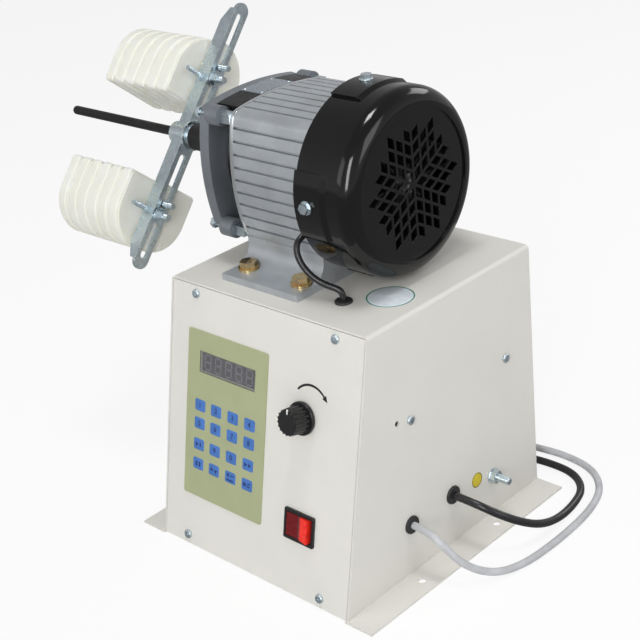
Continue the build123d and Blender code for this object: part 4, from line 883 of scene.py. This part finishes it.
def make_pan_head():
    """Mesh of one pan head with a cross recess."""
    profile = [(HEAD_RADIUS, 0.0), (HEAD_RADIUS, HEAD_EDGE * HEAD_HEIGHT)]
    for degrees in (18, 36, 54, 72, 90):
        turn = math.radians(degrees)
        profile.append((
            HEAD_RADIUS - HEAD_ROUND * (1 - math.cos(turn)),
            HEAD_HEIGHT * (HEAD_EDGE + HEAD_DOME * math.sin(turn)),
        ))
    profile.append((HEAD_FLAT * HEAD_RADIUS, HEAD_HEIGHT))
    head = bmesh.new()
    rings = [(circle(radius, HEAD_POINTS), height) for radius, height in profile]
    loft(head, Matrix(), rings, closed=True)

    cutter = bmesh.new()
    for width, length in ((CROSS_LENGTH, CROSS_WIDTH), (CROSS_WIDTH, CROSS_LENGTH)):
        foot = box_mark(0, 0, width * CROSS_TAPER[0], length * CROSS_TAPER[1])
        loft(cutter, Matrix(), [
            (foot, HEAD_HEIGHT - CROSS_DEPTH),
            (box_mark(0, 0, width, length), HEAD_HEIGHT + CUTTER_RISE),
        ], closed=True)

    pieces = []
    for name, bm in (("pan_head", head), ("cross", cutter)):
        bmesh.ops.recalc_face_normals(bm, faces=bm.faces)
        pieces.append(add_object(name, take_mesh(bm, name)))
    body, cross = pieces
    cut = body.modifiers.new("cross", "BOOLEAN")
    cut.operation = "DIFFERENCE"
    cut.solver = "EXACT"
    cut.use_self = True
    cut.object = cross
    graph = bpy.context.evaluated_depsgraph_get()
    result = bpy.data.meshes.new_from_object(body.evaluated_get(graph))
    for piece in pieces:
        bpy.data.objects.remove(piece)
    return result


pan_head = make_pan_head()


def add_heads(name, places, replaced):
    """Pan heads at each place, standing for a CAD node."""
    bm = bmesh.new()
    for i, place in enumerate(places):
        copy = pan_head.copy()
        copy.transform(place @ Matrix.Rotation(HEAD_TURN + HEAD_TURN_STEP * i, 4, "Z"))
        bm.from_mesh(copy)
        bpy.data.meshes.remove(copy)
    heads = add_piece(name, bm, "zinc")
    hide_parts(replaced)


SCREW_X = 74.0 * MM
SCREW_INSET = 8.3 * MM
SLOPE = math.hypot(PANEL_TOP_Y - PANEL_FOOT_Y, PANEL_TOP_Z)
REAR_Y = 93.0 * MM
SIDE_SCREW_Z = 131.7 * MM
SIDE_SCREW_YS = (-60.0 * MM, 56.8 * MM)

add_heads("panel_screw_heads", [
    on_panel(side * SCREW_X, down)
    for side in (-1, 1) for down in (SCREW_INSET, SLOPE - SCREW_INSET)
], "panel_screws")
add_heads("rear_screw_heads", [
    facing((side * SCREW_X, REAR_Y, z), (0, 1, 0), (-1, 0, 0))
    for side in (-1, 1) for z in (SCREW_INSET, PANEL_TOP_Z - SCREW_INSET)
], "rear_screws")
add_heads("side_screw_heads", [
    facing((side * SIDE_X, y, SIDE_SCREW_Z), (side, 0, 0), (0, side, 0))
    for side in (-1, 1) for y in SIDE_SCREW_YS
], "side_screws")

# ---------------------------------------------------------------- motor and arm details
AXIS_Z = 291.0 * MM
HOUSING_LEFT = -61.0 * MM
SIDE_SHIFT, SIDE_BOW = 114.0 * MM, 172.7 * MM
TOP_SHIFT, TOP_BOW = 206.6 * MM, 262.6 * MM
CORNER_POWER = 38
RIM_WIDTH = 3.6 * MM
RIM_RISE = 0.45 * MM
RIM_EDGE = 0.35 * MM
RIM_SINK = 0.6 * MM
RIM_POINTS = 160
RIM_PROFILE = (
    # along the axis, height over the housing
    (0.0, -RIM_SINK), (0.0, 0.6 * RIM_RISE), (RIM_EDGE, RIM_RISE),
    (RIM_WIDTH - RIM_EDGE, RIM_RISE), (RIM_WIDTH, 0.6 * RIM_RISE), (RIM_WIDTH, -RIM_SINK),
)


def bow_reach(along, shift, bow):
    """Distance from the axis to a bow whose centre is shifted past the axis."""
    return math.sqrt((shift * along) ** 2 - shift ** 2 + bow ** 2) - shift * abs(along)


def housing_reach(turn):
    """Distance from the axis to the housing's bowed outline, in a direction."""
    side = bow_reach(math.cos(turn), SIDE_SHIFT, SIDE_BOW)
    top = bow_reach(math.sin(turn), TOP_SHIFT, TOP_BOW)
    return (side ** -CORNER_POWER + top ** -CORNER_POWER) ** (-1 / CORNER_POWER)


def add_housing_rim():
    """Bright machined edge around the drive end of the housing."""
    bm = bmesh.new()
    rings = []
    for x, rise in RIM_PROFILE:
        ring = []
        for i in range(RIM_POINTS):
            turn = math.tau * i / RIM_POINTS
            reach = housing_reach(turn) + rise
            y, z = reach * math.cos(turn), AXIS_Z + reach * math.sin(turn)
            ring.append(bm.verts.new((HOUSING_LEFT + x, y, z)))
        rings.append(ring)
    skin(bm, rings)
    add_piece("housing_rim", bm, "machined")


add_housing_rim()

ARM_ANGLE = math.radians(50)
ARM_U = Vector((0, math.cos(ARM_ANGLE), math.sin(ARM_ANGLE)))
ARM_V = Vector((0, -math.sin(ARM_ANGLE), math.cos(ARM_ANGLE)))


THREAD_POINTS = 20  # in each turn
THREAD_SINK = 0.04 * MM
THREAD_DEPTH = 0.22  # share of the pitch
THREAD_FLANK = 0.45
BOLT_THREAD = (3.0 * MM, 5.2 * MM, 1.0 * MM)  # radius, length, pitch
STUD_THREAD = (2.5 * MM, 11.6 * MM, 0.8 * MM)
JAM_THREAD = (2.0 * MM, 14.8 * MM, 0.7 * MM)
EARTH_THREAD = (3.0 * MM, 11.0 * MM, 1.0 * MM)
BOLT_X = -165.9 * MM
STUD_X = -172.3 * MM
CLAMPS = (
    # former, place of its bolt and of its stud along the arm
    ("upper", 52.0 * MM, 62.5 * MM), ("lower", -73.5 * MM, -63.0 * MM),
)
JAM_X = -180.0 * MM
JAM_US = (49.6 * MM, -72.0 * MM)
JAM_V = 10.8 * MM
EARTH_PLACE = (109.8 * MM, 32.7 * MM, 35.7 * MM)


def on_arm(x, u, v=0.0):
    """Point on the arm: along the motor's axis, along the arm and across it."""
    return Vector((x, 0, AXIS_Z)) + ARM_U * u + ARM_V * v


def add_thread(bm, start, direction, thread):
    """Helical thread standing on a plain stud."""
    radius, length, pitch = thread
    place = facing(start, direction, Vector(direction).orthogonal())
    count = int(length / pitch * THREAD_POINTS)
    rows = []
    for i in range(count + 1):
        turn = math.tau * i / THREAD_POINTS
        fade = min(1.0, i / THREAD_POINTS, (count - i) / THREAD_POINTS)
        row = []
        for offset, share in ((-THREAD_FLANK, 0.0), (0.0, fade), (THREAD_FLANK, 0.0)):
            reach = radius - THREAD_SINK + share * (THREAD_SINK + THREAD_DEPTH * pitch)
            height = min(length, pitch * (i / THREAD_POINTS + offset))
            x, y = reach * math.cos(turn), reach * math.sin(turn)
            row.append(bm.verts.new(place @ Vector((x, y, height))))
        rows.append(row)
    for first, second in zip(rows, rows[1:]):
        for i in range(2):
            bm.faces.new((first[i], first[i + 1], second[i + 1], second[i]))


def add_threads():
    """Threads on the clamp bolts, guide studs, jam screws and earth stud."""
    for name, bolt, stud in CLAMPS:
        bm = bmesh.new()
        add_thread(bm, on_arm(BOLT_X, bolt), (1, 0, 0), BOLT_THREAD)
        add_thread(bm, on_arm(STUD_X, stud), (1, 0, 0), STUD_THREAD)
        add_piece(f"{name}_threads", bm, "zinc", f"{name}_slide")
    bm = bmesh.new()
    for u in JAM_US:
        add_thread(bm, on_arm(JAM_X, u, JAM_V), ARM_V, JAM_THREAD)
    add_piece("jam_threads", bm, "zinc", "spindle")
    bm = bmesh.new()
    add_thread(bm, EARTH_PLACE, (1, 0, 0), EARTH_THREAD)
    add_piece("earth_threads", bm, "zinc")


add_threads()

PLATE_X = (-85.0 * MM, -61.0 * MM)
PLATE_HALF = 17.5 * MM
PLATE_THICKNESS = 0.6 * MM
RIVET_INSET = 2.6 * MM
RIVET_RADIUS = 1.3 * MM
RIVET_HEIGHT = 0.7 * MM
RIVET_TURNS = (0, 0.3, 0.6, 0.9, 1.2)
RIVET_POINTS = 16


def add_rivets():
    """Four domed rivets in the bare nameplate."""
    bm = bmesh.new()
    for x in (PLATE_X[0] + RIVET_INSET, PLATE_X[1] - RIVET_INSET):
        for y in (-PLATE_HALF + RIVET_INSET, PLATE_HALF - RIVET_INSET):
            reach = math.sqrt(TOP_BOW ** 2 - y ** 2) - TOP_SHIFT
            origin = (x, y, AXIS_Z + reach + PLATE_THICKNESS)
            loft(bm, facing(origin, (0, y / TOP_BOW, 1), (1, 0, 0)), [
                (circle(RIVET_RADIUS * math.cos(a), RIVET_POINTS), RIVET_HEIGHT * math.sin(a))
                for a in RIVET_TURNS
            ])
    add_piece("plate_rivets", bm, "zinc")


add_rivets()

# ---------------------------------------------------------------- floor and light
FLOOR_HALF = 6.0
FLOOR_COLOR = (0.9, 0.9, 0.9)
FLOOR_ROUGHNESS = 0.8
FLOOR_SHINE = 0.1
FLOOR_GLOW = 0.84
FLOOR_MIRRORED = 0.3
WORLD_LIGHT = 0.36
SKY_TOP = 0.8
SKY_GLOW = (0.6, 0.3)  # in reflections, at the horizon and from the sky's top on
LAMPS = (
    # name, place, aim, size, power
    ("window_front", (0.95, -1.75, 1.0), (0.0, 0.0, 0.25), (0.5, 1.2), 19.0),
    ("key_left", (-0.75, -1.75, 1.0), (0.0, 0.0, 0.2), (0.9, 0.9), 3.5),
    ("fill_right", (1.9, 0.1, 1.1), (0.05, 0.0, 0.2), (1.0, 1.0), 7.0),
    ("top", (0.1, -0.1, 1.9), (0.0, 0.0, 0.2), (0.4, 0.4), 8.5),
    ("back", (0.3, 1.7, 1.2), (0.0, 0.0, 0.25), (0.9, 0.6), 6.0),
)


def add_floor():
    """Pale floor that keeps the shadow and shows as near white."""
    sides = ((-1, -1), (1, -1), (1, 1), (-1, 1))
    mesh = bpy.data.meshes.new("floor")
    mesh.from_pydata([(x * FLOOR_HALF, y * FLOOR_HALF, 0) for x, y in sides], [], [range(4)])
    floor = Finish(
        "floor", FLOOR_COLOR, (FLOOR_ROUGHNESS, FLOOR_ROUGHNESS),
        sockets={"Specular IOR Level": FLOOR_SHINE},
    )
    rays = floor.add("ShaderNodeLightPath").outputs
    strength = floor.ranged(rays["Is Glossy Ray"], 0.0, 1.0, 1.0, FLOOR_MIRRORED)
    glow = floor.add("ShaderNodeEmission", Strength=strength)
    seen = floor.add("ShaderNodeMath")
    seen.operation = "MULTIPLY"
    floor.join(rays["Is Camera Ray"], seen.inputs[0])
    floor.join(FLOOR_GLOW, seen.inputs[1])
    share = floor.add("ShaderNodeMath")
    share.operation = "MAXIMUM"
    floor.join(seen.outputs["Value"], share.inputs[0])
    floor.join(rays["Is Glossy Ray"], share.inputs[1])
    mix = floor.add("ShaderNodeMixShader", Fac=share.outputs["Value"])
    floor.join(floor.shader.outputs["BSDF"], mix.inputs[1])
    floor.join(glow.outputs["Emission"], mix.inputs[2])
    floor.join(mix.outputs["Shader"], floor.tree.nodes["Material Output"].inputs["Surface"])
    mesh.materials.append(floor.material)
    plane = add_object("floor", mesh)


def add_world():
    """White to the camera, darker upwards in reflections, and a soft even light otherwise."""
    world = bpy.data.worlds.new("studio")
    bpy.context.scene.world = world
    world.use_nodes = True
    nodes = Nodes(world.node_tree)
    background = nodes.tree.nodes["Background"].inputs
    rays = nodes.add("ShaderNodeLightPath").outputs
    lit = nodes.blend(rays["Is Camera Ray"], WORLD_LIGHT, 1.0)
    around = nodes.add("ShaderNodeTexCoord").outputs["Generated"]
    height = nodes.add("ShaderNodeSeparateXYZ", Vector=around).outputs["Z"]
    mirrored = nodes.ranged(height, 0.0, SKY_TOP, *SKY_GLOW)
    nodes.join((1, 1, 1, 1), background["Color"])
    nodes.join(nodes.blend(rays["Is Glossy Ray"], lit, mirrored), background["Strength"])


def add_lamps():
    """Area lamps, each turned to its aim."""
    for name, place, aim, size, power in LAMPS:
        data = bpy.data.lights.new(name, "AREA")
        data.shape = "RECTANGLE"
        data.size, data.size_y = size
        data.energy = power
        lamp = add_object(name, data)
        lamp.location = place
        turned = (Vector(aim) - Vector(place)).to_track_quat("-Z", "Y")
        lamp.rotation_euler = turned.to_euler()


add_floor()
add_world()
add_lamps()
bpy.context.scene.view_settings.view_transform = "Standard"
